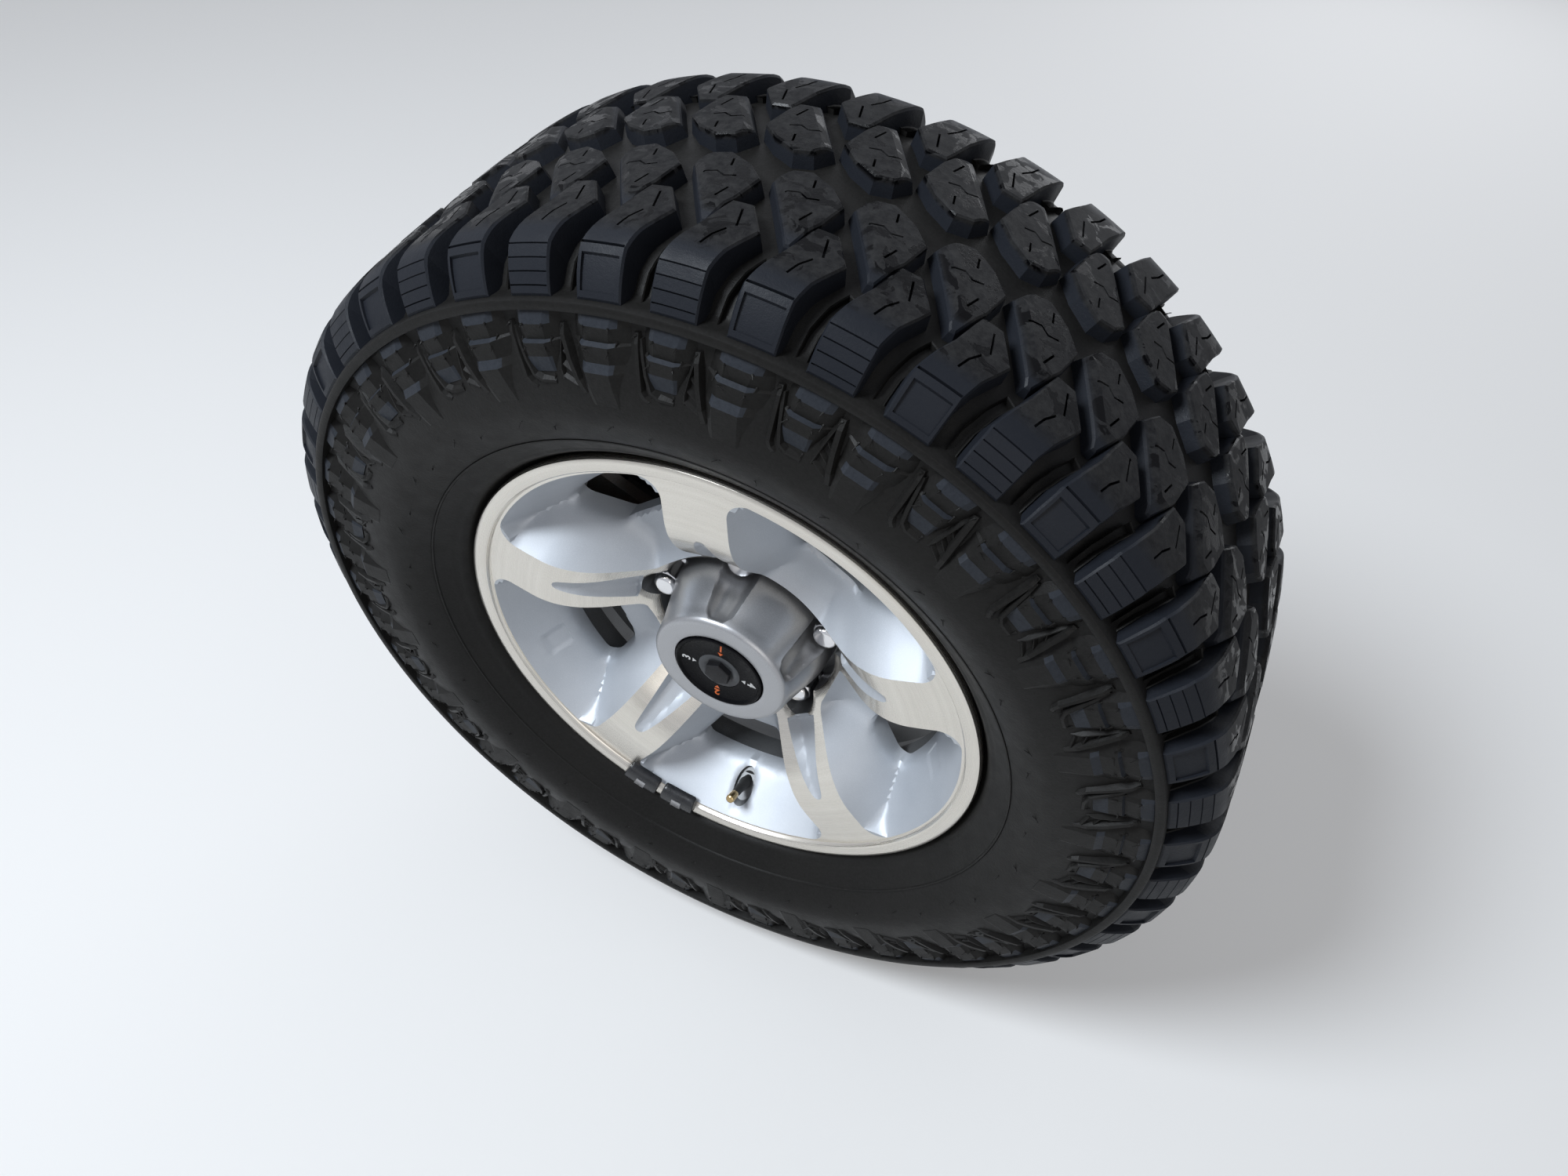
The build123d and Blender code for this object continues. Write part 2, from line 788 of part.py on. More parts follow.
# Brake disc: two plates on vanes, carried by a flange behind the hub
with BuildPart() as brake_disc:
    inner_plate_start = disc_start + disc_plate + disc_gap
    revolve(ring_section(disc_inner_r, disc_r, disc_start, disc_start + disc_plate), axis=wheel_axis)
    revolve(ring_section(disc_inner_r, disc_r, inner_plate_start, disc_end), axis=wheel_axis)
    revolve(
        ring_section(
            disc_flange_inner_r, disc_inner_r + 1, hub_flange_back, hub_flange_back + disc_web
        ),
        axis=wheel_axis,
    )
    revolve(
        ring_section(disc_inner_r - 8, disc_inner_r + 1, hub_flange_back, disc_start + disc_plate),
        axis=wheel_axis,
    )
    with BuildSketch(face_plane(disc_start + disc_plate)):
        with PolarLocations((disc_inner_r + disc_r) / 2, vane_count):
            Rectangle(disc_r - disc_inner_r - 6, vane_thick)
    extrude(amount=-disc_gap)
brake_disc.part.label = "brake_disc"
export_step(brake_disc.part, "parts/brake_disc.step")

# Balance weights clipped on the outer lip
with BuildPart() as balance_weights:
    for angle in weight_angles:
        with BuildSketch(section_plane(angle - weight_arc / 2)) as weight_section:
            with BuildLine():
                Polyline(
                    (weight_inner_r, face_depth + 0.4 - weight_clearance),
                    (lip_step_r - 0.4, face_depth + 0.5 - weight_clearance),
                    (lip_step_r + 1.6, 0.9 - weight_clearance),
                    (weight_outer_r, -weight_clearance),
                    (weight_outer_r - 1.5, -weight_proud + 1),
                    (weight_inner_r + 4, -weight_proud + 2.5),
                    close=True,
                )
            make_face()
        revolve(weight_section.sketch, axis=wheel_axis, revolution_arc=-weight_arc)
balance_weights.part.label = "balance_weights"
export_step(balance_weights.part, "parts/balance_weights.step")

# Tyre valve: stem through the barrel, head seated in the spot face behind it
with BuildPart() as valve:
    with BuildSketch(valve_plane):
        Circle(valve_stem_r)
    extrude(amount=valve_length)
    with BuildSketch(valve_plane):
        Circle(valve_grommet_r)
    extrude(amount=-valve_head_thick)
valve.part.label = "valve"
export_step(valve.part, "parts/valve.step")

# Stub axle: bored for the drive shaft, journals for the bearings, flange on the knuckle
with BuildPart() as stub_axle:
    with BuildSketch(section_plane()):
        with BuildLine():
            Polyline(
                (shaft_bore_r, axle_front),
                (front_journal - 1, axle_front),
                (front_journal, axle_front + 1),
                (front_journal, front_end + 4),
                (rear_journal, front_end + 14),
                (rear_journal, rear_end),
                (rear_journal + 8, rear_end + 6),
                (rear_journal + 10, axle_flange_start),
                (axle_flange_r, axle_flange_start),
                (axle_flange_r, axle_flange_end),
                (shaft_bore_r, axle_flange_end),
                close=True,
            )
        make_face()
    revolve(axis=wheel_axis)
stub_axle.part.label = "stub_axle"
export_step(stub_axle.part, "parts/stub_axle.step")

# Dust shield: pressed plate behind the disc, cut away for the caliper
shield_end = axle_flange_end + shield_thick
with BuildPart() as dust_shield:
    revolve(ring_section(cup_front_hole_r, shield_r, axle_flange_end, shield_end), axis=wheel_axis)
    cutaway = sector_outline(
        caliper_inner_r - shield_cut_margin, shield_r + 1, shield_cut_half, caliper_angle, axle_flange_end - 1
    )
    extrude(cutaway, amount=-shield_thick - 2, mode=Mode.SUBTRACT)
dust_shield.part.label = "dust_shield"
export_step(dust_shield.part, "parts/dust_shield.step")

# Steering knuckle: cup round the axle's ball, kingpin bosses, caliper ears and steering arm
kingpin_plane = Plane(
    origin=(0, 0, 0),
    x_dir=(1, 0, 0),
    z_dir=(0, sin(radians(kingpin_lean)), cos(radians(kingpin_lean))),
)
cup_r = ball_cavity_r + cup_wall
with BuildPart() as steering_knuckle:
    with BuildSketch(section_plane()):
        with BuildLine():
            Polyline(
                (0, shield_end),
                (cup_front_r, shield_end),
                (cup_front_r, shield_end + cup_wall),
                (cup_r, knuckle_depth - 6),
                (cup_r, cup_mouth),
                (0, cup_mouth),
                close=True,
            )
        make_face()
    revolve(axis=wheel_axis)
    for side in (-1, 1):
        with BuildSketch(kingpin_plane.offset(side * kingpin_boss_start)):
            Circle(kingpin_boss_r)
        extrude(amount=side * (kingpin_boss_end - kingpin_boss_start))
    for side in (-1, 1):
        ear = face_plane(ear_start, caliper_angle + side * ear_angle)
        with BuildSketch(ear):
            with Locations(((cup_front_r - 12 + ear_r) / 2, 0)):
                Rectangle(ear_r - cup_front_r + 12, 2 * ear_half_width)
            with Locations((ear_r, 0)):
                Circle(ear_half_width)
        extrude(amount=-ear_thick)
    with BuildSketch(Plane.XY.offset(-arm_drop)):
        with Locations((arm_length / 2, arm_inboard)):
            Rectangle(arm_length, 2 * arm_half_width)
        with Locations((arm_length, arm_inboard)):
            Circle(tie_rod_boss_r)
    extrude(amount=arm_thick)
    with BuildSketch(section_plane()):
        with BuildLine():
            Line((0, shield_end - 2), (0, cup_mouth + 2))
            Line((0, cup_mouth + 2), (mouth_r, cup_mouth + 2))
            Line((mouth_r, cup_mouth + 2), (mouth_r, knuckle_depth + mouth_half))
            ThreePointArc(
                (mouth_r, knuckle_depth + mouth_half),
                (ball_cavity_r, knuckle_depth),
                (cup_front_hole_r, knuckle_depth - cavity_front),
            )
            Line(
                (cup_front_hole_r, knuckle_depth - cavity_front),
                (cup_front_hole_r, shield_end - 2),
            )
            Line((cup_front_hole_r, shield_end - 2), (0, shield_end - 2))
        make_face()
    revolve(axis=wheel_axis, mode=Mode.SUBTRACT)
    with BuildSketch(kingpin_plane):
        Circle(kingpin_bore_r)
    extrude(amount=2 * kingpin_boss_end, both=True, mode=Mode.SUBTRACT)
    with BuildSketch(Plane.XY.offset(-arm_drop - 1)):
        with Locations((arm_length, arm_inboard)):
            Circle(tie_rod_hole_r)
    extrude(amount=arm_thick + 2, mode=Mode.SUBTRACT)
steering_knuckle.part.label = "steering_knuckle"
export_step(steering_knuckle.part, "parts/steering_knuckle.step")

# Brake caliper: bridge over the disc with a pocket for each pad
with BuildPart() as brake_caliper:
    body = sector_outline(
        caliper_inner_r, caliper_outer_r, caliper_half_angle, caliper_angle, caliper_front
    )
    extrude(body, amount=caliper_front - caliper_back)
    disc_slot = ring_section(
        caliper_inner_r - 5, disc_r + disc_running_gap, disc_start - slot_side, disc_end + slot_side
    )
    revolve(disc_slot, axis=wheel_axis, mode=Mode.SUBTRACT)
    for side in (-1, 1):
        with BuildSketch(face_plane(ear_start - caliper_ear_thick, caliper_angle + side * ear_angle)):
            with Locations((ear_r, 0)):
                Circle(ear_half_width)
            with Locations((ear_r, -side * ear_bridge / 2)):
                Rectangle(2 * ear_half_width, ear_bridge)
        extrude(amount=-caliper_ear_thick)
brake_caliper.part.label = "brake_caliper"
export_step(brake_caliper.part, "parts/brake_caliper.step")

with BuildPart() as brake_pads:
    for start in (disc_start - pad_running_gap - pad_thick, disc_end + pad_running_gap):
        outline = sector_outline(pad_inner_r, pad_outer_r, pad_half_angle, caliper_angle, start)
        extrude(outline, amount=-pad_thick)
brake_pads.part.label = "brake_pads"
export_step(brake_pads.part, "parts/brake_pads.step")
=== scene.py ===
from functools import partial
from math import cos, pi, radians, sin, sqrt

import bmesh
import bpy
import numpy as np
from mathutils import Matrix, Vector
from mathutils.geometry import delaunay_2d_cdt


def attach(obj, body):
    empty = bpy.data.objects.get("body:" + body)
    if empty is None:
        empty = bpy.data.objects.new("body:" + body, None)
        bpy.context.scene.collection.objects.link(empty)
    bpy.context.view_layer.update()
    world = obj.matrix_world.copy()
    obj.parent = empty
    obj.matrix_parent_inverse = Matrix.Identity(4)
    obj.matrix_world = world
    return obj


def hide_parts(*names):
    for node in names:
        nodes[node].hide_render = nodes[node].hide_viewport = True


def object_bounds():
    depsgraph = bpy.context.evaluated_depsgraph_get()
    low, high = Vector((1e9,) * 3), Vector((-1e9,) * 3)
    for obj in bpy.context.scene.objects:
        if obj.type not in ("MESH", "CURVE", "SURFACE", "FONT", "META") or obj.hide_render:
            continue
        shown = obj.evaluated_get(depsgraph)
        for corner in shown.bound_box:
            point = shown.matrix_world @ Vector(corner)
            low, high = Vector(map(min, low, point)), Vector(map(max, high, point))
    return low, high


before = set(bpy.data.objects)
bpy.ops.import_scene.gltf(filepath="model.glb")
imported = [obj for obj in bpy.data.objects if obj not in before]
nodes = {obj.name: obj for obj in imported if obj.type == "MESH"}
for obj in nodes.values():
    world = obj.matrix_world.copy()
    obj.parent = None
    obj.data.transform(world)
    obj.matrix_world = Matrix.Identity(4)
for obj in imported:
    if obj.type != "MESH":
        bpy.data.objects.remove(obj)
cad_low, cad_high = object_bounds()

KNUCKLE_DEPTH = 222.0
RIM_MIDDLE = 114.5
TYRE_R = 388.5
PITCHES = 46
SPOKE_STEP = 72.0
SPOKES = [20.0 + SPOKE_STEP * k for k in range(5)]
POCKETS = [56.0 + SPOKE_STEP * k for k in range(5)]
VALVE_ANGLE = 272.5
rng = np.random.default_rng(7)


# Materials


class Graph:
    """A node tree being built: most helpers return an output socket."""

    def __init__(self, tree, shader="Principled BSDF"):
        self.tree = tree
        self.shader = tree.nodes[shader]

    def node(self, kind, inputs, **settings):
        """New node with its settings, and its inputs by name or place."""
        made = self.tree.nodes.new(kind)
        for key, value in settings.items():
            setattr(made, key, value)
        for key, value in inputs.items():
            self.put(made.inputs[key], value)
        return made

    def put(self, socket, value):
        if hasattr(value, "is_output"):
            self.tree.links.new(value, socket)
        elif isinstance(value, tuple):
            socket.default_value = (*value, 1.0)
        else:
            socket.default_value = value

    def noise(self, scale, detail=4.0, roughness=0.6, vector=None, distortion=0.0):
        return self.node("ShaderNodeTexNoise", {
            "Vector": vector or self.coordinates, "Scale": scale, "Detail": detail,
            "Roughness": roughness, "Distortion": distortion,
        }).outputs["Fac"]

    def ramp(self, source, low, high, bottom=0.0, top=1.0):
        names = ("Value", "From Min", "From Max", "To Min", "To Max")
        values = dict(zip(names, (source, low, high, bottom, top)))
        return self.node("ShaderNodeMapRange", values).outputs["Result"]

    def math(self, operation, first, second=0.0):
        return self.node("ShaderNodeMath", {0: first, 1: second}, operation=operation).outputs[0]

    def mix(self, factor, first, second):
        return self.node("ShaderNodeMix", {0: factor, 6: first, 7: second}, data_type="RGBA").outputs[2]

    def radius(self):
        """Distance from the wheel's axis, in metres."""
        split = self.node("ShaderNodeSeparateXYZ", {0: self.coordinates})
        x, z = (self.math("POWER", split.outputs[k], 2.0) for k in (0, 2))
        return self.math("SQRT", self.math("ADD", x, z))

    def along(self, source):
        """Vector that varies with one value only."""
        return self.node("ShaderNodeCombineXYZ", {0: source}).outputs[0]

    def bump(self, height, strength, distance=0.001):
        values = {"Strength": strength, "Distance": distance, "Height": height}
        self.set(Normal=self.node("ShaderNodeBump", values).outputs["Normal"])

    def set(self, **values):
        for key, value in values.items():
            self.put(self.shader.inputs[key.replace("_", " ")], value)


class Look(Graph):
    """A material whose patterns follow the piece's own coordinates."""

    def __init__(self, name):
        self.material = bpy.data.materials.new(name)
        self.material.use_nodes = True
        super().__init__(self.material.node_tree)
        self.coordinates = self.node("ShaderNodeTexCoord", {}).outputs["Object"]


def tyre_rubber(name, tread=False, painted_ledge_reflection=False):
    g = Look(name)
    broad = g.noise(9.0, 3.0)
    fine = g.noise(420.0, 3.0, 0.7)
    grain = g.noise(1500.0, 2.0, 0.5)
    base = g.mix(g.ramp(broad, 0.35, 0.7), (0.0075, 0.0072, 0.0068), (0.0110, 0.0105, 0.0098))
    base = g.mix(g.ramp(fine, 0.35, 0.75, 0.0, 0.5), base, (0.018, 0.0175, 0.017))
    rough = g.ramp(g.noise(70.0, 4.0), 0.3, 0.7, 0.40, 0.52)
    # Up-facing ledges: a lighter blue-grey base, painted sky reflection on the rubber
    if painted_ledge_reflection:
        base = g.mix(g.ramp(fine, 0.3, 0.7), (0.021, 0.024, 0.030), (0.030, 0.034, 0.042))
    if tread:
        # Blue-grey lift of the tread rubber, which stays on the blocks' sides: painted light on the lit
        # sides
        base = g.mix(0.6, base, (0.016, 0.0195, 0.028))
        # Tread tops darker than the sides: painted shade, with dust noise in it; the shiny black patches
        # are the rubber's own
        top = g.ramp(g.radius(), 0.3835, 0.3858)
        dust = g.ramp(g.noise(160.0, 6.0, 0.7), 0.34, 0.62)
        dust_and_painted_shade = g.mix(dust, (0.005, 0.005, 0.006), (0.021, 0.021, 0.0215))
        painted_shade_tops = g.mix(top, base, dust_and_painted_shade)
        patch = g.ramp(g.noise(62.0, 5.0, 0.55, distortion=0.8), 0.53, 0.56)
        patch = g.math("MULTIPLY", patch, top)
        base = g.mix(patch, painted_shade_tops, (0.0015, 0.0015, 0.002))
        matt = g.mix(top, rough, (0.62, 0.62, 0.62))
        rough = g.mix(patch, matt, (0.24, 0.24, 0.24))
    g.set(Base_Color=base, Roughness=rough, Specular_IOR_Level=0.13)
    g.bump(g.math("ADD", g.math("MULTIPLY", grain, 0.35), fine), 0.35, 0.0005)
    return g.material


def machined_metal():
    g = Look("machined_alloy")
    radius = g.radius()
    lines = g.noise(2600.0, 2.0, 0.5, g.along(radius))
    bands = g.noise(140.0, 3.0, 0.6, g.along(radius))
    cloud = g.noise(16.0, 4.0, 0.6)
    tone = g.mix(g.ramp(bands, 0.3, 0.7), (0.66, 0.625, 0.565), (0.74, 0.705, 0.64))
    tone = g.mix(g.ramp(cloud, 0.4, 0.75, 0.0, 0.35), tone, (0.60, 0.56, 0.50))
    g.set(Base_Color=tone, Metallic=1.0, Roughness=g.ramp(lines, 0.25, 0.75, 0.20, 0.36))
    g.set(Coat_Weight=0.5, Coat_Roughness=0.06)
    g.bump(lines, 0.12, 0.0003)
    return g.material


def wheel_paint():
    g = Look("wheel_paint")
    flake = g.noise(2400.0, 2.0, 0.6)
    cloud = g.noise(11.0, 3.0)
    tone = g.mix(g.ramp(cloud, 0.35, 0.7), (0.45, 0.48, 0.52), (0.53, 0.555, 0.59))
    tone = g.mix(g.ramp(flake, 0.50, 0.72, 0.0, 0.55), tone, (0.70, 0.73, 0.77))
    g.set(Base_Color=tone, Metallic=0.50, Roughness=g.ramp(flake, 0.3, 0.7, 0.48, 0.60))
    g.set(Coat_Weight=0.25, Coat_Roughness=0.25)
    g.bump(g.noise(260.0, 3.0), 0.10, 0.0004)
    return g.material


def satin_paint(name, tone, light, metallic=0.8, rough=0.34):
    g = Look(name)
    flake = g.noise(2000.0, 2.0, 0.6)
    g.set(Base_Color=g.mix(g.ramp(flake, 0.4, 0.7), tone, light), Metallic=metallic)
    g.set(Roughness=g.ramp(g.noise(30.0, 4.0), 0.3, 0.7, rough - 0.03, rough + 0.06))
    g.set(Coat_Weight=0.35, Coat_Roughness=0.2)
    g.bump(g.noise(380.0, 3.0), 0.08, 0.0003)
    return g.material


def chrome():
    g = Look("plated_steel")
    smear = g.noise(120.0, 4.0)
    g.set(Base_Color=g.mix(smear, (0.72, 0.72, 0.73), (0.86, 0.86, 0.87)), Metallic=1.0)
    g.set(Roughness=g.ramp(smear, 0.3, 0.7, 0.06, 0.18))
    g.bump(g.noise(500.0, 2.0), 0.05, 0.0003)
    return g.material


def cast_iron(name, dark, light, rust, amount):
    g = Look(name)
    grain = g.noise(900.0, 4.0, 0.7)
    cloud = g.noise(28.0, 5.0, 0.65)
    tone = g.mix(g.ramp(grain, 0.3, 0.7), dark, light)
    tone = g.mix(g.ramp(cloud, 0.45, 0.72, 0.0, amount), tone, rust)
    g.set(Base_Color=tone, Metallic=0.35, Roughness=g.ramp(cloud, 0.3, 0.7, 0.55, 0.8))
    g.bump(g.math("ADD", grain, g.noise(200.0, 3.0)), 0.45, 0.0012)
    return g.material


def turned_steel(name, tone, light, rough):
    g = Look(name)
    lines = g.noise(1800.0, 2.0, 0.5, g.along(g.radius()))
    cloud = g.noise(40.0, 4.0)
    base = g.mix(g.ramp(lines, 0.3, 0.7), tone, light)
    g.set(Base_Color=base, Metallic=0.9, Roughness=g.ramp(cloud, 0.3, 0.7, rough, rough + 0.15))
    g.bump(lines, 0.25, 0.0004)
    return g.material


def dark_coat(name, tone, light, rough, specular=0.5):
    g = Look(name)
    cloud = g.noise(60.0, 5.0, 0.65)
    g.set(Base_Color=g.mix(g.ramp(cloud, 0.35, 0.7), tone, light), Specular_IOR_Level=specular)
    g.set(Roughness=g.ramp(g.noise(300.0, 3.0), 0.3, 0.7, rough - 0.06, rough + 0.08))
    g.bump(g.noise(700.0, 3.0), 0.2, 0.0005)
    return g.material


RUBBER = tyre_rubber("tyre_rubber")
TREAD = tyre_rubber("tread_rubber", tread=True)
# Lighter blue-grey rubber for the side blocks' up-facing ledges: painted reflection
LEDGE_REFLECTION = tyre_rubber("ledge_painted_reflection", painted_ledge_reflection=True)
MACHINED = machined_metal()
PAINT = wheel_paint()
CAP = satin_paint("cap_paint", (0.36, 0.365, 0.38), (0.47, 0.475, 0.49))
CHROME = chrome()
IRON = cast_iron("cast_iron", (0.09, 0.085, 0.08), (0.17, 0.16, 0.15), (0.17, 0.09, 0.05), 0.55)
DARK_IRON = cast_iron(
    "painted_casting", (0.045, 0.044, 0.043), (0.085, 0.083, 0.08), (0.12, 0.08, 0.055), 0.4
)
DISC = turned_steel("disc_face", (0.06, 0.057, 0.054), (0.12, 0.115, 0.11), 0.40)
# Dark grey barrel paint for the back, the barrel, the walls round the cap and the valve slot: painted
# shade of the wheel's inside
BACK_PAINTED_SHADE = satin_paint("barrel_paint_painted_shade", (0.13, 0.135, 0.14), (0.20, 0.205, 0.21), 0.5, 0.46)
STEEL = turned_steel("turned_steel", (0.40, 0.40, 0.41), (0.56, 0.56, 0.57), 0.28)
LOCK = turned_steel("lock_casting", (0.20, 0.20, 0.21), (0.30, 0.30, 0.31), 0.40)
SHIELD = dark_coat("shield_coat", (0.026, 0.026, 0.026), (0.050, 0.048, 0.046), 0.50)
GLOSS = dark_coat("dial_gloss", (0.002, 0.002, 0.003), (0.004, 0.004, 0.005), 0.28, 0.06)
KNOB = dark_coat("knob_plastic", (0.008, 0.008, 0.009), (0.016, 0.016, 0.018), 0.45, 0.2)
GREY = dark_coat("dial_grey", (0.05, 0.053, 0.058), (0.08, 0.084, 0.09), 0.4, 0.3)
BLACK_RUBBER = dark_coat("valve_rubber", (0.014, 0.014, 0.014), (0.028, 0.027, 0.026), 0.6)
WEIGHT = dark_coat("weight_coat", (0.010, 0.0105, 0.012), (0.022, 0.023, 0.026), 0.30)
PAD = dark_coat("pad_lining", (0.05, 0.045, 0.042), (0.09, 0.083, 0.078), 0.8)
BRASS = satin_paint("brass", (0.42, 0.30, 0.14), (0.55, 0.41, 0.20), 1.0, 0.28)
ORANGE = dark_coat("dial_orange", (0.72, 0.13, 0.02), (0.82, 0.18, 0.03), 0.4)
WHITE = dark_coat("dial_white", (0.70, 0.70, 0.70), (0.80, 0.80, 0.80), 0.4)


# Meshes


class Shell:
    """Vertices and faces in millimetres, gathered before one object is made of them."""

    def __init__(self):
        self.points = []
        self.faces = []
        self.marks = []
        self.count = 0

    def add(self, points, faces=(), mark=0):
        """Adds vertices, and faces that count from the first of them, whose index comes back."""
        points = np.asarray(points, float).reshape(-1, 3)
        base = self.count
        self.points.append(points)
        self.count += len(points)
        self.close([tuple(base + i for i in face) for face in faces], mark)
        return base

    def close(self, faces, mark=0):
        """Adds faces between vertices that are there. The mark is one, or one a face."""
        self.faces.extend(faces)
        self.marks.extend([mark] * len(faces) if isinstance(mark, int) else mark)

    def all_points(self):
        return np.concatenate(self.points)


def to_frame(points):
    """(x, depth, z) in millimetres to the shared frame in metres."""
    out = np.array(points, float)
    out[:, 1] -= KNUCKLE_DEPTH
    return out / 1000.0


def make_object(name, shell, materials, smooth=32.0, merge=0.0, recalc=True):
    mesh = bpy.data.meshes.new(name)
    mesh.from_pydata(to_frame(shell.all_points()).tolist(), [], shell.faces)
    mesh.polygons.foreach_set("material_index", np.array(shell.marks, np.int32))
    for material in materials:
        mesh.materials.append(material)
    work = bmesh.new()
    work.from_mesh(mesh)
    if merge:
        bmesh.ops.remove_doubles(work, verts=work.verts, dist=merge / 1000.0)
    if recalc:
        bmesh.ops.recalc_face_normals(work, faces=work.faces)
    limit = radians(smooth)
    for face in work.faces:
        face.smooth = True
    for edge in work.edges:
        if len(edge.link_faces) == 2:
            edge.smooth = edge.calc_face_angle(0.0) < limit
    work.to_mesh(mesh)
    work.free()
    made = bpy.data.objects.new(name, mesh)
    bpy.context.scene.collection.objects.link(made)
    return made


def lofted(rows, width, join=False, ring=True):
    """Faces between rows of points; join closes the last row to the first, ring closes each row."""
    faces = []
    for i in range(rows if join else rows - 1):
        for k in range(width if ring else width - 1):
            j, n = (i + 1) % rows, (k + 1) % width
            faces.append((i * width + k, i * width + n, j * width + n, j * width + k))
    return faces


def capped(rows, width):
    """The same with the first and the last row closed by a face each."""
    last = (rows - 1) * width
    caps = [tuple(range(width)), tuple(range(last + width - 1, last - 1, -1))]
    return lofted(rows, width) + caps


def join_loops(shell, front, back, mark=0):
    """Wall between two rings of vertices of one length."""
    count = len(front)
    ahead = [(i + 1) % count for i in range(count)]
    shell.close([(front[i], front[j], back[j], back[i]) for i, j in enumerate(ahead)], mark)


def nearest(flat, loop):
    """Indices of the points nearest to those of a loop."""
    return [int(np.argmin(((flat - p) ** 2).sum(axis=1))) for p in loop]


def ringed(layers, sides, centre=(0.0, 0.0), phase=0.0):
    """Rings about a line along the axis: (radius, or a function of the angle in degrees, depth)."""
    points = []
    for radius, depth in layers:
        for angle in [phase + 360.0 * k / sides for k in range(sides)]:
            r = radius(angle) if callable(radius) else radius
            x, z = cos(radians(angle)), sin(radians(angle))
            points.append((centre[0] + r * x, depth, centre[1] + r * z))
    return points


def revolve(shell, profile, segments, marks=0, closed=True):
    """Turns (radius, depth) points about the axis. Marks are one, or one a profile step."""
    profile = np.asarray(profile, float)
    angles = np.arange(segments) * 2 * pi / segments
    points = np.zeros((segments, len(profile), 3))
    points[:, :, 0] = np.cos(angles)[:, None] * profile[None, :, 0]
    points[:, :, 1] = profile[None, :, 1]
    points[:, :, 2] = np.sin(angles)[:, None] * profile[None, :, 0]
    marks = marks if isinstance(marks, int) else marks * segments
    shell.add(points, lofted(segments, len(profile), join=True, ring=closed), marks)


def tube(base, axis, hint, stations, sides):
    """Rings along an axis: (radius, distance from the base, how far it droops)."""
    first = np.cross(axis, hint)
    first /= np.linalg.norm(first)
    second = np.cross(axis, first)
    points = []
    for r, distance, droop in stations:
        centre = base + axis * distance - np.array([0, 0, droop])
        for a in np.arange(sides) * 2 * pi / sides:
            points.append(centre + r * (cos(a) * first + sin(a) * second))
    return np.array(points)


def smooth_line(rows, per_step=8):
    """Catmull-Rom samples through the rows of a table."""
    rows = np.asarray(rows, float)
    padded = np.vstack([2 * rows[0] - rows[1], rows, 2 * rows[-1] - rows[-2]])
    out = []
    for p0, p1, p2, p3 in zip(padded, padded[1:], padded[2:], padded[3:]):
        for t in np.arange(per_step) / per_step:
            out.append(0.5 * (
                2 * p1 + (p2 - p0) * t + (2 * p0 - 5 * p1 + 4 * p2 - p3) * t**2
                + (3 * p1 - p0 - 3 * p2 + p3) * t**3
            ))
    return np.array([*out, rows[-1]])


def edges(outline):
    """The two ends of each edge of a closed outline."""
    return zip(outline, np.roll(outline, -1, axis=0))


def dense(outline, step):
    """Closed outline with no edge longer than the step."""
    out = []
    for a, b in edges(np.asarray(outline, float)):
        pieces = max(1, int(np.ceil(np.linalg.norm(b - a) / step)))
        out.extend(a + (b - a) * k / pieces for k in range(pieces))
    return np.array(out)


MITRE_LIMIT = 0.35


def left_of(steps):
    """Directions square to steps, to their left."""
    steps = steps / np.linalg.norm(steps, axis=1)[:, None]
    return np.stack([-steps[:, 1], steps[:, 0]], axis=1)


def offset(outline, distance):
    """Outline moved inwards by a distance, anticlockwise outline, mitred corners."""
    points = np.asarray(outline, float)
    before = left_of(points - np.roll(points, 1, axis=0))
    after = left_of(np.roll(points, -1, axis=0) - points)
    scale = 1.0 / np.maximum(MITRE_LIMIT, 1 + (before * after).sum(axis=1))
    return points + (before + after) * (distance * scale)[:, None]


def inside(points, outline):
    """Which points lie in a closed outline."""
    x, y = points.T
    result = np.zeros(len(points), bool)
    for (ax, ay), (bx, by) in edges(outline):
        if ay != by:
            result ^= ((ay > y) != (by > y)) & (x < (bx - ax) * (y - ay) / (by - ay) + ax)
    return result


def away(points, outline):
    """Distance from each point to a closed outline."""
    best = np.full(len(points), 1e9)
    for a, b in edges(outline):
        d = b - a
        t = np.clip(((points - a) @ d) / max(d @ d, 1e-12), 0, 1)
        best = np.minimum(best, np.linalg.norm(points - a - t[:, None] * d, axis=1))
    return best


TRIANGLE_HEIGHT = 0.866


def plan_mesh(outline, features, grid):
    """Triangles in an outline. Returns points, triangles and, for each, the features it is in."""
    outline = np.asarray(outline, float)
    low, high = outline.min(axis=0), outline.max(axis=0)
    xs = np.arange(low[0] + grid / 2, high[0], grid)
    ys = np.arange(low[1] + grid / 2, high[1], grid * TRIANGLE_HEIGHT)
    lattice = [(x + (grid / 2 if j % 2 else 0), y) for j, y in enumerate(ys) for x in xs]
    lattice = np.array(lattice).reshape(-1, 2)
    if len(lattice):
        keep = inside(lattice, outline) & (away(lattice, outline) > 0.45 * grid)
        for feature in features:
            keep &= away(lattice, feature) > 0.4 * grid
        lattice = lattice[keep]
    points = []
    loops = []
    for loop in [outline, *features]:
        loops.append(list(range(len(points), len(points) + len(loop))))
        points.extend(map(Vector, loop))
    points.extend(map(Vector, lattice))
    verts, _, tris, _, _, origins = delaunay_2d_cdt(points, [], loops, 1, 1e-4)
    flat = np.array([(v.x, v.y) for v in verts])
    kept = [(tri, origin) for tri, origin in zip(tris, origins) if 0 in origin]
    tags = [frozenset(i - 1 for i in origin if i > 0) for _, origin in kept]
    return flat, [tuple(tri) for tri, _ in kept], tags


# Tyre: a carcass turned from the groove floor's profile, and blocks mapped onto it. A block's
# outline is drawn as (distance along the tread towards the front, distance across from the
# middle); the far side is the near side turned half a turn about SHIFT.

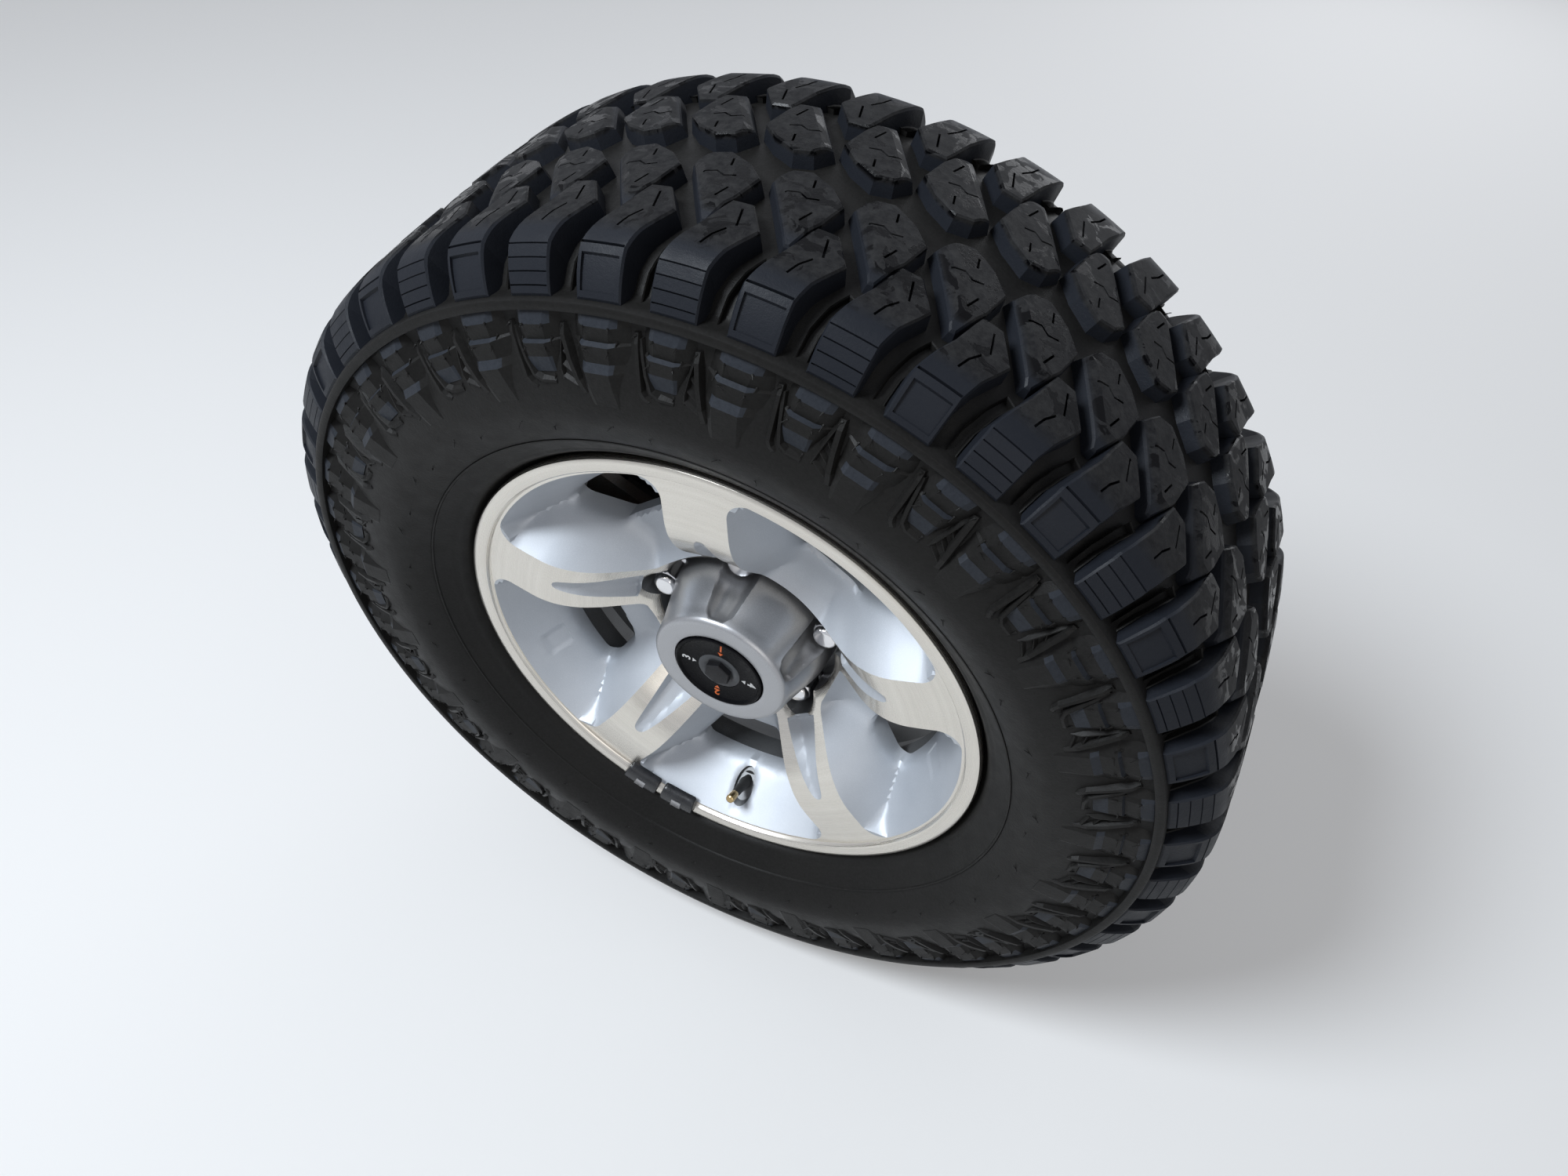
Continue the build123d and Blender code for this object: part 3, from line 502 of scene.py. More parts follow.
# columns: distance across, floor radius, floor half width, top radius, top half width
SKIN_TABLE = (
    (0, 376, 0, 388.2, 0),
    (30, 376, 30, 388.1, 30),
    (60, 375.4, 60, 387.6, 60),
    (80, 373.6, 79, 386.8, 80),
    (95, 370.6, 92, 385.7, 95),
    (104, 367, 100, 384.1, 104),
    (111, 362.8, 106, 381.3, 110.6),
    (118, 358.4, 111, 376.6, 116.6),
    (130, 352.2, 117.4, 367, 123.4),
    (142, 347.6, 122, 356.6, 129),
    (152, 344.4, 125.6, 347.6, 132.4),
)
SKIN = smooth_line(SKIN_TABLE)
SHIFT = 2.3
TREAD_PHASE = 90.9

# Sidewall between its blocks, from the ring down to the bead: radius, half width
SIDE_LINE = smooth_line((
    (343.6, 127.4), (336, 128.2), (328, 130.2), (320, 132.8), (312, 135.8), (305, 138.2),
    (298, 140), (291, 141.1), (284, 141.6), (277, 141.5), (270, 140.2), (262, 137.4),
    (254, 133.4), (247.6, 129.6),
), 4)


def side_half(radius):
    """Half width of the plain sidewall at a radius."""
    return np.interp(radius, SIDE_LINE[::-1, 0], SIDE_LINE[::-1, 1])


def skin(points, lift):
    """(along, across) and a lift (0 floor, 1 top) to (x, depth, z)."""
    points = np.asarray(points, float)
    lift = np.broadcast_to(np.asarray(lift, float), (len(points),))
    t = np.abs(points[:, 1])
    side = np.where(points[:, 1] < 0, -1.0, 1.0)
    floor_r, floor_a, top_r, top_a = (np.interp(t, SKIN[:, 0], SKIN[:, k]) for k in (1, 2, 3, 4))
    r = floor_r + lift * (top_r - floor_r)
    a = floor_a + lift * (top_a - floor_a)
    return on_tyre(points[:, 0], r, side * a)


def on_tyre(along, radius, across):
    """(along, radius, across from the middle) to (x, depth, z)."""
    angle = radians(TREAD_PHASE) - np.asarray(along, float) / TYRE_R
    return np.stack([radius * np.cos(angle), RIM_MIDDLE + across, radius * np.sin(angle)], axis=-1)


def mirrored(outline):
    """The same outline on the far side."""
    return [(2 * SHIFT - u, -t) for u, t in outline]


BLOCK_SINK = -0.12
BLOCK_THICK = 12.5


def block(outline, cuts, edge, draft, top=1.0, grid=7.0, step=6.0, tilt=None):
    """Closed block on the skin: floor loop, top edge, chamfer and top with sunk or raised cuts.

    cuts are (outline, change of lift); tilt gives the lift at a point instead of one value.
    """
    rim_loop = dense(outline, step)
    foot = offset(rim_loop, -draft)
    inner = offset(rim_loop, edge)
    flat, tris, tags = plan_mesh(inner, [dense(cut, step) for cut, _ in cuts], grid)
    lift_of = tilt or (lambda p: np.full(len(p), float(top)))
    count = len(rim_loop)
    foot_points = skin(foot, BLOCK_SINK)
    rim_points = skin(rim_loop, lift_of(rim_loop) - edge / BLOCK_THICK)
    shell = Shell()
    shell.add(np.concatenate([foot_points, rim_points]), lofted(2, count))
    centre = shell.add(skin([foot.mean(axis=0)], BLOCK_SINK))
    shell.close([((i + 1) % count, i, centre) for i in range(count)])
    levels = {}
    top_points = []

    def corner(index, tag):
        key = (index, tag)
        if key not in levels:
            change = sum(cuts[k][1] for k in tag)
            levels[key] = len(top_points)
            top_points.append(skin([flat[index]], lift_of(flat[index : index + 1]) + change)[0])
        return levels[key]

    faces = []
    sides = {}
    for tri, tag in zip(tris, tags):
        faces.append(tuple(corner(i, tag) for i in tri))
        for pair in zip(tri, tri[1:] + tri[:1]):
            sides[pair] = tag
    for (a, b), tag in sides.items():
        other = sides.get((b, a))
        if other is not None and other != tag and a < b:
            faces.append((corner(b, tag), corner(a, tag), corner(a, other), corner(b, other)))
    ring = [corner(i, frozenset()) for i in nearest(flat, inner)]
    base = shell.add(top_points, faces)
    join_loops(shell, range(count, 2 * count), [base + i for i in ring])
    return shell.all_points(), shell.faces


def spread(shell, made, start=0, every=1, mark=0):
    """Copies one block round the tyre, from a pitch on, to each or to every second one."""
    points, faces = made
    for k in range(start, PITCHES, every):
        turn = -k * 2 * pi / PITCHES
        c, s = cos(turn), sin(turn)
        moved = points.copy()
        moved[:, 0] = points[:, 0] * c - points[:, 2] * s
        moved[:, 2] = points[:, 0] * s + points[:, 2] * c
        shell.add(moved, faces, mark)


def strip(path, width):
    """Outline of a bar of one width along a short path."""
    path = np.asarray(path, float)
    side = left_of(np.gradient(path, axis=0)) * width / 2
    return [tuple(p) for p in path - side] + [tuple(p) for p in (path + side)[::-1]]


def both_sides(shell, outline, cuts, start=0, every=1, tilt=None, **options):
    """One block on the near side and its copy on the far side, round the tyre."""
    spread(shell, block(outline, cuts, tilt=tilt, **options), start, every)
    far_tilt = tilt and (lambda p: tilt(np.stack([2 * SHIFT - p[:, 0], -p[:, 1]], axis=1)))
    far_cuts = [(mirrored(cut), change) for cut, change in cuts]
    spread(shell, block(mirrored(outline), far_cuts, tilt=far_tilt, **options), start, every)


# Middle rows: the outboard tip falls away as a nose facet, the rear edge as a chamfer band
NOSE = -62.0
SIPE_WIDTH = 1.5
CREASE_WIDTH = 0.2
middle_outline = [
    (-1.8, -75.5), (1.8, -75), (7.5, NOSE), (11, -54), (15.5, -31), (3, -18),
    (-13.5, -9), (-25, -13), (-33, -25), (-10.1, NOSE),
]


def middle_lift(points):
    """Lift of a middle block's top, with its two sloping facets."""
    band = 0.8507 * (points[:, 0] + 1.8) + 0.5256 * (points[:, 1] + 75.5)
    nose = np.maximum(0, NOSE - points[:, 1])
    return 1.0 - np.maximum(0.036 * nose, 0.05 * np.maximum(0, 6.5 - band))


middle_cuts = [(strip(path, SIPE_WIDTH), -0.42) for path in (
    [(-20, -36), (-12, -33), (-6, -36.5), (1, -34)],
    [(-1, -58), (2.5, -47)],
    [(-9, -16.5), (-7, -25)],
)]
# Strips with no change of lift, which give the facets' creases an edge in the mesh
middle_cuts += [(strip(path, CREASE_WIDTH), 0.0) for path in (
    [(-1, -62), (5.3, -62)],
    [(-24.3, -25.8), (-3.3, -59.8)],
)]
middle_blocks = Shell()
both_sides(middle_blocks, middle_outline, middle_cuts, edge=1.1, draft=2.4, tilt=middle_lift)

# Shoulder lugs, with a panel or ribs on the side by turns
lug_outline = [
    (-28, -146), (-28.5, -130), (-28.5, -114), (-25, -101), (-19, -88),
    (-15, -78.5), (-29, -57), (-42.5, -57.5), (-45, -66), (-49.5, -84),
    (-55.5, -99), (-60.5, -114), (-61, -130), (-60.5, -146),
]
sipe_cuts = [(strip(path, SIPE_WIDTH), -0.40) for path in (
    [(-33, -64), (-29, -80)],
    [(-33, -84), (-38, -92), (-41, -101)],
)]
rib_cuts = [(strip([(-59.5, t), (-29.8, t)], 0.9), -0.16) for t in (-116.0, -124.0, -132.0, -140.0)]
panel_cuts = [
    ([(-57.5, -141), (-31.5, -141), (-31.5, -119), (-57.5, -119)], -0.13),
    (strip([(-59.5, -113.5), (-29.8, -113.5)], 1.4), -0.14),
]
lugs = Shell()
for start, side_cuts in enumerate((panel_cuts, rib_cuts)):
    both_sides(lugs, lug_outline, sipe_cuts + side_cuts, start, 2, edge=1.2, draft=2.0)

# Bar with a slit along it on the floor of each shoulder groove
ribs = Shell()
bar_line = [(-14.2, -145), (-14.2, -132), (-13.6, -117), (-9.4, -102), (-3.6, -89)]
slit_line = [(-14.2, -141), (-14.2, -132), (-13.6, -117), (-9.9, -104)]
slit_cuts = [(strip(slit_line, SIPE_WIDTH), -0.16)]
bar_outline = strip(bar_line, 6.4)[::-1]
both_sides(ribs, bar_outline, slit_cuts, top=0.30, edge=0.7, draft=0.8, grid=30.0, step=9.0)

# Side blocks under the ring. Each row of a table is a radius and six places across the block, from
# its rear foot over the rear edge, the flat's two ends and the front edge to the front foot. The
# first and last numbers are places along the tyre, those between are (along, half width).
LONG_ROWS = (
    (344.4, -67, (-62.5, 130.6), (-59, 131.6), (-36.5, 131.6), (-31.5, 130.6), -26.5),
    (338, -71, (-63, 132.6), (-58.6, 134.9), (-38.5, 134.9), (-32.5, 132.6), -23.5),
    (328, -74, (-64.2, 133.2), (-59.8, 134.9), (-40.8, 134.9), (-34.4, 133), -22),
    (326.6, -74.2, (-64.4, 135.6), (-60.8, 138.2), (-40, 138.2), (-35.8, 135.8), -22.2),
    (315, -73.5, (-65.2, 136.6), (-61.6, 138.2), (-41.4, 138.2), (-37.6, 136.8), -26),
    (310, -72.5, (-65.6, 139.4), (-62.2, 141.7), (-41.6, 141.7), (-38.4, 140), -28),
    (300, -70, (-65.2, 140.8), (-62, 141.8), (-41, 141.8), (-38, 141), -32.5),
    (286.5, -63.5, (-63, 141.4), (-60, 141.7), (-39, 141.7), (-37, 141.4), -36.4),
)
SHORT_ROWS = (
    (344.4, -65.5, (-60.5, 130.6), (-57.5, 131.6), (-38, 131.6), (-33, 130.6), -28),
    (336.2, -69, (-61.8, 132.8), (-57.4, 134.9), (-40.2, 134.9), (-34.8, 132.8), -26.5),
    (326, -71, (-63.2, 133.4), (-58.6, 134.9), (-42.4, 134.9), (-37.2, 133.4), -28),
    (325, -71, (-63.6, 135.6), (-60.2, 138), (-42.2, 138), (-38.4, 135.8), -28.5),
    (316, -69.5, (-64, 137.2), (-60.8, 138.4), (-42, 138.4), (-39.2, 137.2), -33),
    (306, -64.5, (-64, 138), (-60.8, 138.6), (-41.6, 138.6), (-39.6, 138), -39),
)
FOOT_SINK = 1.2
SIDE_LIMIT = 141.7
RIDGE_SLOPE = 0.9
RIDGE_FOOT = -0.8
HAIR_SIDES = 5
HAIR_SINK = 0.3
HAIR_LEAN = 0.8
HAIR_LIMIT = 141.4
BLOCK_HAIR = (2.0, 6.0)
WALL_HAIR = (4.0, 7.0)


def on_side(along, radius, half, side):
    """Point on the near side (-1), or its copy on the far side (1)."""
    return on_tyre(along if side < 0 else 2 * SHIFT - along, radius, side * half)


def side_block(rows, side):
    """Closed block lofted through its rows, and marks for its up-facing ledge faces, which take the
    lighter blue-grey rubber as painted reflection.
    """
    points = []
    for radius, rear, *edges, front in rows:
        foot = side_half(radius) - FOOT_SINK
        for along, half in [(rear, foot)] + edges + [(front, foot)]:
            points.append(on_side(along, radius, half, side))
    count, width = len(rows), len(rows[0]) - 1
    reflection_marks = [int(i in (0, 2, 4) and 1 <= k <= 3) for i in range(count - 1) for k in range(width)]
    return (np.array(points), capped(count, width)), reflection_marks + [0, 0]


def side_ridge(path, width, height, side):
    """Bar along (along, radius) points on the sidewall. Height is one or one a point."""
    path = np.asarray(path, float)
    heights = np.broadcast_to(np.asarray(height, float), (len(path),))
    plan = np.stack([path[:, 0] * path[:, 1] / TYRE_R, path[:, 1]], axis=1)
    across = left_of(np.gradient(plan, axis=0))
    low, high = width / 2 + RIDGE_SLOPE, width / 2 - RIDGE_SLOPE
    points = []
    for place, direction, rise in zip(plan, across, heights):
        for reach, lift in ((-low, RIDGE_FOOT), (-high, rise), (high, rise), (low, RIDGE_FOOT)):
            x, radius = place + direction * reach
            half = min(side_half(place[1]) + lift, SIDE_LIMIT)
            points.append(on_side(x * TYRE_R / radius, radius, half, side))
    return np.array(points), capped(len(path), 4)


def whisker(along, radius, half, length, side):
    """Thin vent hair from its root, leaning over where the tyre is near its full width."""
    root = on_side(along, radius, half - HAIR_SINK, side)
    lean = rng.uniform(-HAIR_LEAN, HAIR_LEAN, 3)
    out = np.array([lean[0], 1.0, lean[2] - 0.5])
    reach = length / np.linalg.norm(out)
    room = max(0.0, HAIR_LIMIT - half)
    out[1] = side * min(1.0, 0.6 * room / max(reach, 0.1) - 0.12)
    out /= np.linalg.norm(out)
    stations = ((1.0, 0.0, 0.0), (0.75, 1.0, 0.0), (0.42, 1.5, 0.05), (0.28, length, 0.25 * length))
    points = tube(root, out, (1.0, 0.3, 0.0), stations, HAIR_SIDES)
    points[:, 1] = np.clip(points[:, 1], RIM_MIDDLE - SIDE_LIMIT, RIM_MIDDLE + SIDE_LIMIT)
    return points, capped(len(stations), HAIR_SIDES)


# Fins in the gaps: path of (along, radius), width, height or heights
HOOK_FIN = (
    ([(-20, 336), (-19, 331), (-17.5, 318), (-15.8, 303), (-13.5, 299), (-10, 296)],
     4.2, [1.5, 4.2, 4.4, 3.2, 2.2, 0.4]),
    ([(-17, 333), (-14, 324), (-11, 314), (-7, 304.5), (-1, 301), (11.5, 299.5)],
     3.8, [2.0, 4.2, 4.2, 3.2, 2.8, 0.6]),
)
LADDER_FIN = (
    ([(-27, 335), (-26, 330), (-22.5, 316), (-18.5, 303), (-15.5, 294)],
     4.8, [1.5, 4.6, 4.8, 3.6, 0.4]),
    ([(-28, 332), (-30.5, 320), (-32.5, 309), (-33.5, 301.5)], 2.6, [2, 3.4, 3, 0.4]),
    ([(-30, 319), (-24.5, 315.5)], 2.4, 2.2),
    ([(-31.5, 311.5), (-22.5, 307)], 2.4, 2.2),
    ([(-32.5, 304), (-20, 299)], 2.4, 1.8),
)
# Hairs on a side block: row, place in the row, change of radius
NUBS = ((1, 3, 0), (1, 4, 0), (2, 2, 1), (2, 5, 1), (3, 3, -3), (3, 4, -3), (5, 3, -2), (5, 4, -2))
# Hairs on the plain sidewall: along, radius, half width
LOW_HAIRS = ((-52, 270, 139.9), (-20, 263, 137.4), (-34, 279, 141), (-8, 274, 140.4))
side_blocks = Shell()
fins = Shell()
hairs = Shell()
for side in (-1, 1):
    for start, (rows, fin) in enumerate(((LONG_ROWS, HOOK_FIN), (SHORT_ROWS, LADDER_FIN))):
        made, marks = side_block(rows, side)
        spread(side_blocks, made, start, 2, marks)
        for path, width, height in fin:
            spread(fins, side_ridge(path, width, height, side), start, 2)
        for row, place, rise in NUBS:
            along, half = rows[row][place]
            hair = whisker(along, rows[row][0] + rise, half, rng.uniform(*BLOCK_HAIR), side)
            spread(hairs, hair, start, 2)
        along, radius = fin[0][0][0]
        hair = whisker(along, radius - 1.0, side_half(radius) + 2.5, 3.0, side)
        spread(hairs, hair, start, 2)
    for along, radius, half in LOW_HAIRS:
        hair = whisker(along, radius, half, rng.uniform(*WALL_HAIR), side)
        spread(hairs, hair, int(along) % 2, 2)

# Carcass: groove floor, ring, sidewall, bead and the closed inside, as radius and half width
outer_half = [[np.interp(t, SKIN[:, 0], SKIN[:, k]) for k in (1, 2)] for t in np.arange(0, 132, 8.0)]
outer_half += [
    (351.8, 120.4), (351.9, 124.4), (352.4, 128), (352.2, 130.8), (351.3, 133.4), (350.2, 134.1),
    (346.2, 134.2), (345, 133.6), (344.4, 131.4), (343.9, 128.2), *SIDE_LINE,
    (247.2, 129), (246.8, 129.7), (245.6, 129.3), (245.2, 128), (240, 124.4), (236, 121.2),
    (233.6, 120), (231.8, 118), (229.6, 117.4), (227, 115.2), (224.2, 111.6), (222.8, 107.2),
    (219, 103.4), (216, 101.4), (203.4, 101.3), (203.1, 92), (203.1, 81.3),
]
inner_half = [
    (214, 84), (234, 97.3), (262, 114), (284, 124), (306, 122.5), (332, 116),
    (354, 101), (362, 60), (363, 0),
]
profile = [(r, RIM_MIDDLE - a) for r, a in outer_half[::-1]]
profile += [(r, RIM_MIDDLE + a) for r, a in outer_half[1:] + inner_half]
profile += [(r, RIM_MIDDLE - a) for r, a in inner_half[::-1][1:]]
carcass = Shell()
revolve(carcass, profile, PITCHES * 7)

tyre = make_object("tyre_carcass", carcass, [RUBBER], smooth=38.0)
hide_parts("tyre")
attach(tyre, "wheel")
for name, shell, materials in (
    ("tread_middle_blocks", middle_blocks, [TREAD]),
    ("tread_shoulder_lugs", lugs, [TREAD]),
    ("tread_groove_ribs", ribs, [RUBBER]),
    # The side blocks' second material is the painted reflection on their ledges
    ("tyre_side_blocks", side_blocks, [RUBBER, LEDGE_REFLECTION]),
    ("tyre_side_fins", fins, [RUBBER]),
    ("tyre_vent_hairs", hairs, [RUBBER]),
):
    piece = make_object(name, shell, materials, smooth=13.0)
    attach(piece, "wheel")


# Rim: the dished face is one lifted plan mesh, joined to a turned barrel and a lifted back
SPOKE_HALF = 25.0
POCKET_R = 204.0
POCKET_INNER_R = 86.0
WINDOW_R = (131.0, 175.5)
WINDOW_HALF = 53.0
POCKET_CORNERS = (10.0, 16.0)
WINDOW_CORNERS = (7.0, 9.0)
WALL_SLOPE = 1.6
POCKET_BLEND = 9.0
CHANNEL_SLOPE = 1.9
CHANNEL_BLEND = 3.0
# Radius of a rounded edge, and the most of it that is used, so that it never stands upright
WINDOW_EDGE = (4.5, 4.4)
MOUTH_EDGE = (3.0, 2.95)
SLOT_EDGE = (2.5, 2.45)
MOUTH_R = 79.0
WELL_R = 17.5
SLOT_R = (178.5, 199.0)
SLOT_HALF = 9.0
SLOT_DEEP = 7.0
ARC_STEP = 3.0
LIP_R = 206.0
PAD_DEPTH = 86.0
MOUNT_DEPTH = 109.5
HUB_BACK_DEPTH = 88.0
MOUNT_R = 92.0
BORE_R = 55.0
BACK_R = 178.5
NUT_CIRCLE_R = 75.0


def soft_min(a, b, k):
    h = np.clip(0.5 + 0.5 * (b - a) / k, 0, 1)
    return b * (1 - h) + a * h - k * h * (1 - h)


def polar(radius, angle):
    return np.array([radius * cos(radians(angle)), radius * sin(radians(angle))])


def axes(angle):
    """Direction outwards at an angle, and the one square to it."""
    return polar(1.0, angle), polar(1.0, angle + 90.0)


def circle(radius, step):
    return np.array([polar(radius, a) for a in np.arange(0, 360, step)])


def arc_points(centre, radius, start, end):
    """Points anticlockwise round a centre, from one direction to another."""
    first, last = (np.arctan2(v[1], v[0]) for v in (start, end))
    sweep = (last - first) % (2 * pi)
    angles = np.linspace(first, first + sweep, max(3, int(sweep * radius / ARC_STEP) + 1))
    return [centre + radius * np.array([cos(a), sin(a)]) for a in angles]


def gap_loop(half, inner, outer, inner_corner, outer_corner, middle):
    """Rounded outline of the space between two parallel-sided spokes, anticlockwise."""
    e, n = axes(middle - SPOKE_STEP / 2)
    axis = polar(1.0, middle)
    low = half + inner_corner
    low_centre = e * sqrt((inner + inner_corner) ** 2 - low**2) + n * low
    high = half + outer_corner
    high_centre = e * sqrt((outer - outer_corner) ** 2 - high**2) + n * high
    half_loop = arc_points(low_centre, inner_corner, -low_centre, -n)
    half_loop += arc_points(high_centre, outer_corner, -n, high_centre)
    half_loop += arc_points(np.zeros(2), outer, high_centre, axis)[1:]
    back = [2 * axis * (axis @ p) - p for p in half_loop[:-1]][::-1]
    return dense(half_loop + back, 3.2)


def channel_loop(angle):
    """Tapered channel down a spoke, its rounded tip outwards."""
    half = [
        (150, 0), (148.6, 3.2), (144, 5.6), (132, 8.2), (116, 11.2), (100, 14.2), (91, 15.4),
    ]
    line = smooth_line([(x, -y) for x, y in half[:0:-1]] + half, 4)
    e, n = axes(angle)
    return dense([x * e + y * n for x, y in line], 3.0)


def mouth_radius(angle):
    """Radius of the opening round the cap, with a well for each nut."""
    radius = MOUTH_R
    for spoke in SPOKES:
        off = radians(angle - spoke)
        inner = WELL_R**2 - (NUT_CIRCLE_R * sin(off)) ** 2
        if cos(off) > 0 and inner > 0:
            radius = max(radius, NUT_CIRCLE_R * cos(off) + sqrt(inner))
    return radius


def mouth_loop():
    return np.array([polar(mouth_radius(a), a) for a in np.arange(0, 360, 1.5)])


def slot_loop(inner, outer, half, angle):
    """Outline of a slot with round ends, along a radius."""
    e, n = axes(angle)
    out = []
    for first, middle in ((pi / 2, outer - half), (-pi / 2, inner + half)):
        for a in first - pi * np.arange(13) / 12:
            out.append(e * (middle + half * cos(a)) - n * half * sin(a))
    return dense(out, 2.4)


# Shallow square marks in the outer walls of two pockets: radius, angle
PATCHES = ((187.0, 202.0), (183.5, 344.5))
PATCH_HALF = (6.5, 11.0)
PATCH_DEEP = 2.0
PATCH_FLOOR = 0.8


def patch_loop(radius, angle, share):
    """Outline of a square mark, or of a share of it."""
    e, n = axes(angle)
    a, b = np.array(PATCH_HALF) * share
    corners = ((-a, -b), (a, -b), (a, b), (-a, b))
    return dense([e * (radius + x) + n * y for x, y in corners], 3.0)


POCKET_LOOPS = [gap_loop(SPOKE_HALF, POCKET_INNER_R, POCKET_R, *POCKET_CORNERS, a) for a in POCKETS]
WINDOW_LOOPS = [gap_loop(WINDOW_HALF, *WINDOW_R, *WINDOW_CORNERS, a) for a in POCKETS]
CHANNEL_LOOPS = [channel_loop(a) for a in SPOKES]
VALVE_LOOP = slot_loop(*SLOT_R, SLOT_HALF, VALVE_ANGLE)
# Radius and depth of the spokes' face and of the pockets' floor
BASE_LINE = smooth_line([
    (70, 68), (79, 59), (92, 47.5), (105, 35.5), (118, 24), (131, 14.8),
    (145, 8.2), (158, 5.1), (172, 4.5), (206, 5),
], 6)
FLOOR_LINE = smooth_line([
    (70, 84), (86, 72), (100, 66), (117, 64), (134, 61.5), (150, 58),
    (172, 53), (188, 52), (204, 52),
], 6)


def rolled_edge(distance, radius, most):
    """Fall of a rounded edge at a distance from it."""
    reach = np.clip(radius - distance, 0, most)
    return radius - np.sqrt(radius**2 - reach**2)


def face_depth(points, in_pocket, in_channel):
    """Depth of the rim's outer face at points of its plan."""
    radius = np.linalg.norm(points, axis=1)
    level = np.interp(radius, *BASE_LINE.T)
    floor = np.interp(radius, *FLOOR_LINE.T)

    def close_to(loop, reach):
        """Points near enough to a loop's middle for it to matter."""
        return np.hypot(*(points - loop.mean(axis=0)).T) < reach

    for loop in POCKET_LOOPS:
        here = in_pocket & close_to(loop, 90)
        face = level[here]
        distance = np.minimum(away(points[here], loop), 60)
        sunk = soft_min(face + WALL_SLOPE * distance, np.maximum(floor[here], face), POCKET_BLEND)
        within = inside(points[here], loop) | (distance < 1e-6)
        level[here] = np.where(within, np.maximum(sunk, face), face)
    for loop, spoke in zip(CHANNEL_LOOPS, SPOKES):
        here = in_channel & close_to(loop, 50)
        along = points[here] @ polar(1.0, spoke)
        bottom = np.interp(along, (92, 120, 150), (11.0, 8.0, 1.5))
        sunk = soft_min(CHANNEL_SLOPE * away(points[here], loop), bottom, CHANNEL_BLEND)
        level[here] += np.maximum(0, sunk)
    for loop in WINDOW_LOOPS:
        here = close_to(loop, 60)
        level[here] += rolled_edge(away(points[here], loop), *WINDOW_EDGE)
    level += rolled_edge(away(points, mouth_loop()), *MOUTH_EDGE)
    for radius, angle in PATCHES:
        e, n = axes(angle)
        across = np.abs(points @ n) / PATCH_HALF[1]
        along = np.abs(points @ e - radius) / PATCH_HALF[0]
        level += PATCH_DEEP * np.clip((1 - np.maximum(across, along)) / (1 - PATCH_FLOOR), 0, 1)
    return level + rolled_edge(away(points, VALVE_LOOP), *SLOT_EDGE)


def lifted_plan(outline, holes, features, grid):
    """Plan mesh between an outline and its holes."""
    flat, tris, tags = plan_mesh(outline, holes + features, grid)
    tags = [frozenset(i - len(holes) for i in tag) for tag in tags]
    kept = [(tri, tag) for tri, tag in zip(tris, tags) if all(i >= 0 for i in tag)]
    return flat, [tri for tri, _ in kept], [tag for _, tag in kept]


def on_plan(flat, depth):
    """Points of a plan at a depth, or at one each."""
    return np.stack([flat[:, 0], np.broadcast_to(depth, len(flat)), flat[:, 1]], axis=1)


rim = Shell()
mouth = mouth_loop()
patch_loops = [patch_loop(*patch, share) for patch in PATCHES for share in (1.0, PATCH_FLOOR)]
features = POCKET_LOOPS + CHANNEL_LOOPS + patch_loops
flat, tris, tags = lifted_plan(circle(LIP_R, 0.9), WINDOW_LOOPS + [mouth, VALVE_LOOP], features, 3.0)
pocket_points = np.zeros(len(flat), bool)
channel_points = np.zeros(len(flat), bool)
for tri, tag in zip(tris, tags):
    pocket_points[list(tri)] |= any(k < 5 for k in tag)
    channel_points[list(tri)] |= any(5 <= k < 10 for k in tag)
depths = face_depth(flat, pocket_points, channel_points)
front = rim.add(on_plan(flat, depths), tris, [int(len(tag) > 0) for tag in tags])

back_holes = WINDOW_LOOPS + [circle(MOUNT_R, 4.5)]
flat_back, tris_back, _ = lifted_plan(circle(BACK_R, 2.25), back_holes, [], 8.0)
back_radius = np.linalg.norm(flat_back, axis=1)
back_level = np.interp(back_radius, (MOUNT_R, 134.0, 172.0, BACK_R), (HUB_BACK_DEPTH, 77.0, 66.0, 62.0))
back = rim.add(on_plan(flat_back, back_level), [t[::-1] for t in tris_back], 2)
for loop in WINDOW_LOOPS:
    front_ring = [front + i for i in nearest(flat, loop)]
    join_loops(rim, front_ring, [back + i for i in nearest(flat_back, loop)], 1)


def wall(upper, flat_ring, depth):
    """Wall from a ring of vertices to a new ring, which comes back."""
    start = rim.add(on_plan(flat_ring, depth))
    lower = range(start, start + len(flat_ring))
    join_loops(rim, upper, lower, 2)
    return lower


ring = wall([front + i for i in nearest(flat, mouth)], mouth, PAD_DEPTH)
outwards = mouth / np.linalg.norm(mouth, axis=1)[:, None]
for radius, depth in (
    (BORE_R, PAD_DEPTH), (BORE_R, MOUNT_DEPTH), (MOUNT_R, MOUNT_DEPTH), (MOUNT_R, HUB_BACK_DEPTH),
):
    ring = wall(ring, radius * outwards, depth)
slot_edge = nearest(flat, VALVE_LOOP)
slot_floor = wall([front + i for i in slot_edge], VALVE_LOOP, depths[slot_edge] + SLOT_DEEP)
rim.close([tuple(slot_floor)], 2)

# Radius and depth from the lip round the flanges and bead seats to the barrel's inside
barrel = [
    (206, 5), (206.6, 4.2), (207.4, 1.8), (208.6, 0.9), (214.5, 0.2), (216.6, 0.3), (218.6, 1.2),
    (219.7, 2.8), (220, 5), (219.8, 7.2), (218.8, 9.8), (216.6, 12), (213.8, 12.8), (211, 12.9),
    (204.6, 12.9), (202.8, 14.6), (201, 34), (198, 37), (185, 47), (184, 50),
    (184, 82), (185, 86), (194.5, 102), (196, 106), (196, 180), (201, 195.2),
    (202.8, 214.4), (204.6, 216.1), (211, 216.1), (215, 216.4), (218.2, 218.2), (219.8, 221),
    (220, 223.8), (219.4, 226.6), (217.2, 228.7), (214, 229), (208.2, 228), (199, 219),
    (197.3, 216.1), (195.5, 195.1), (190.5, 181), (190.5, 104), (178.5, 84), (178.5, 62),
]
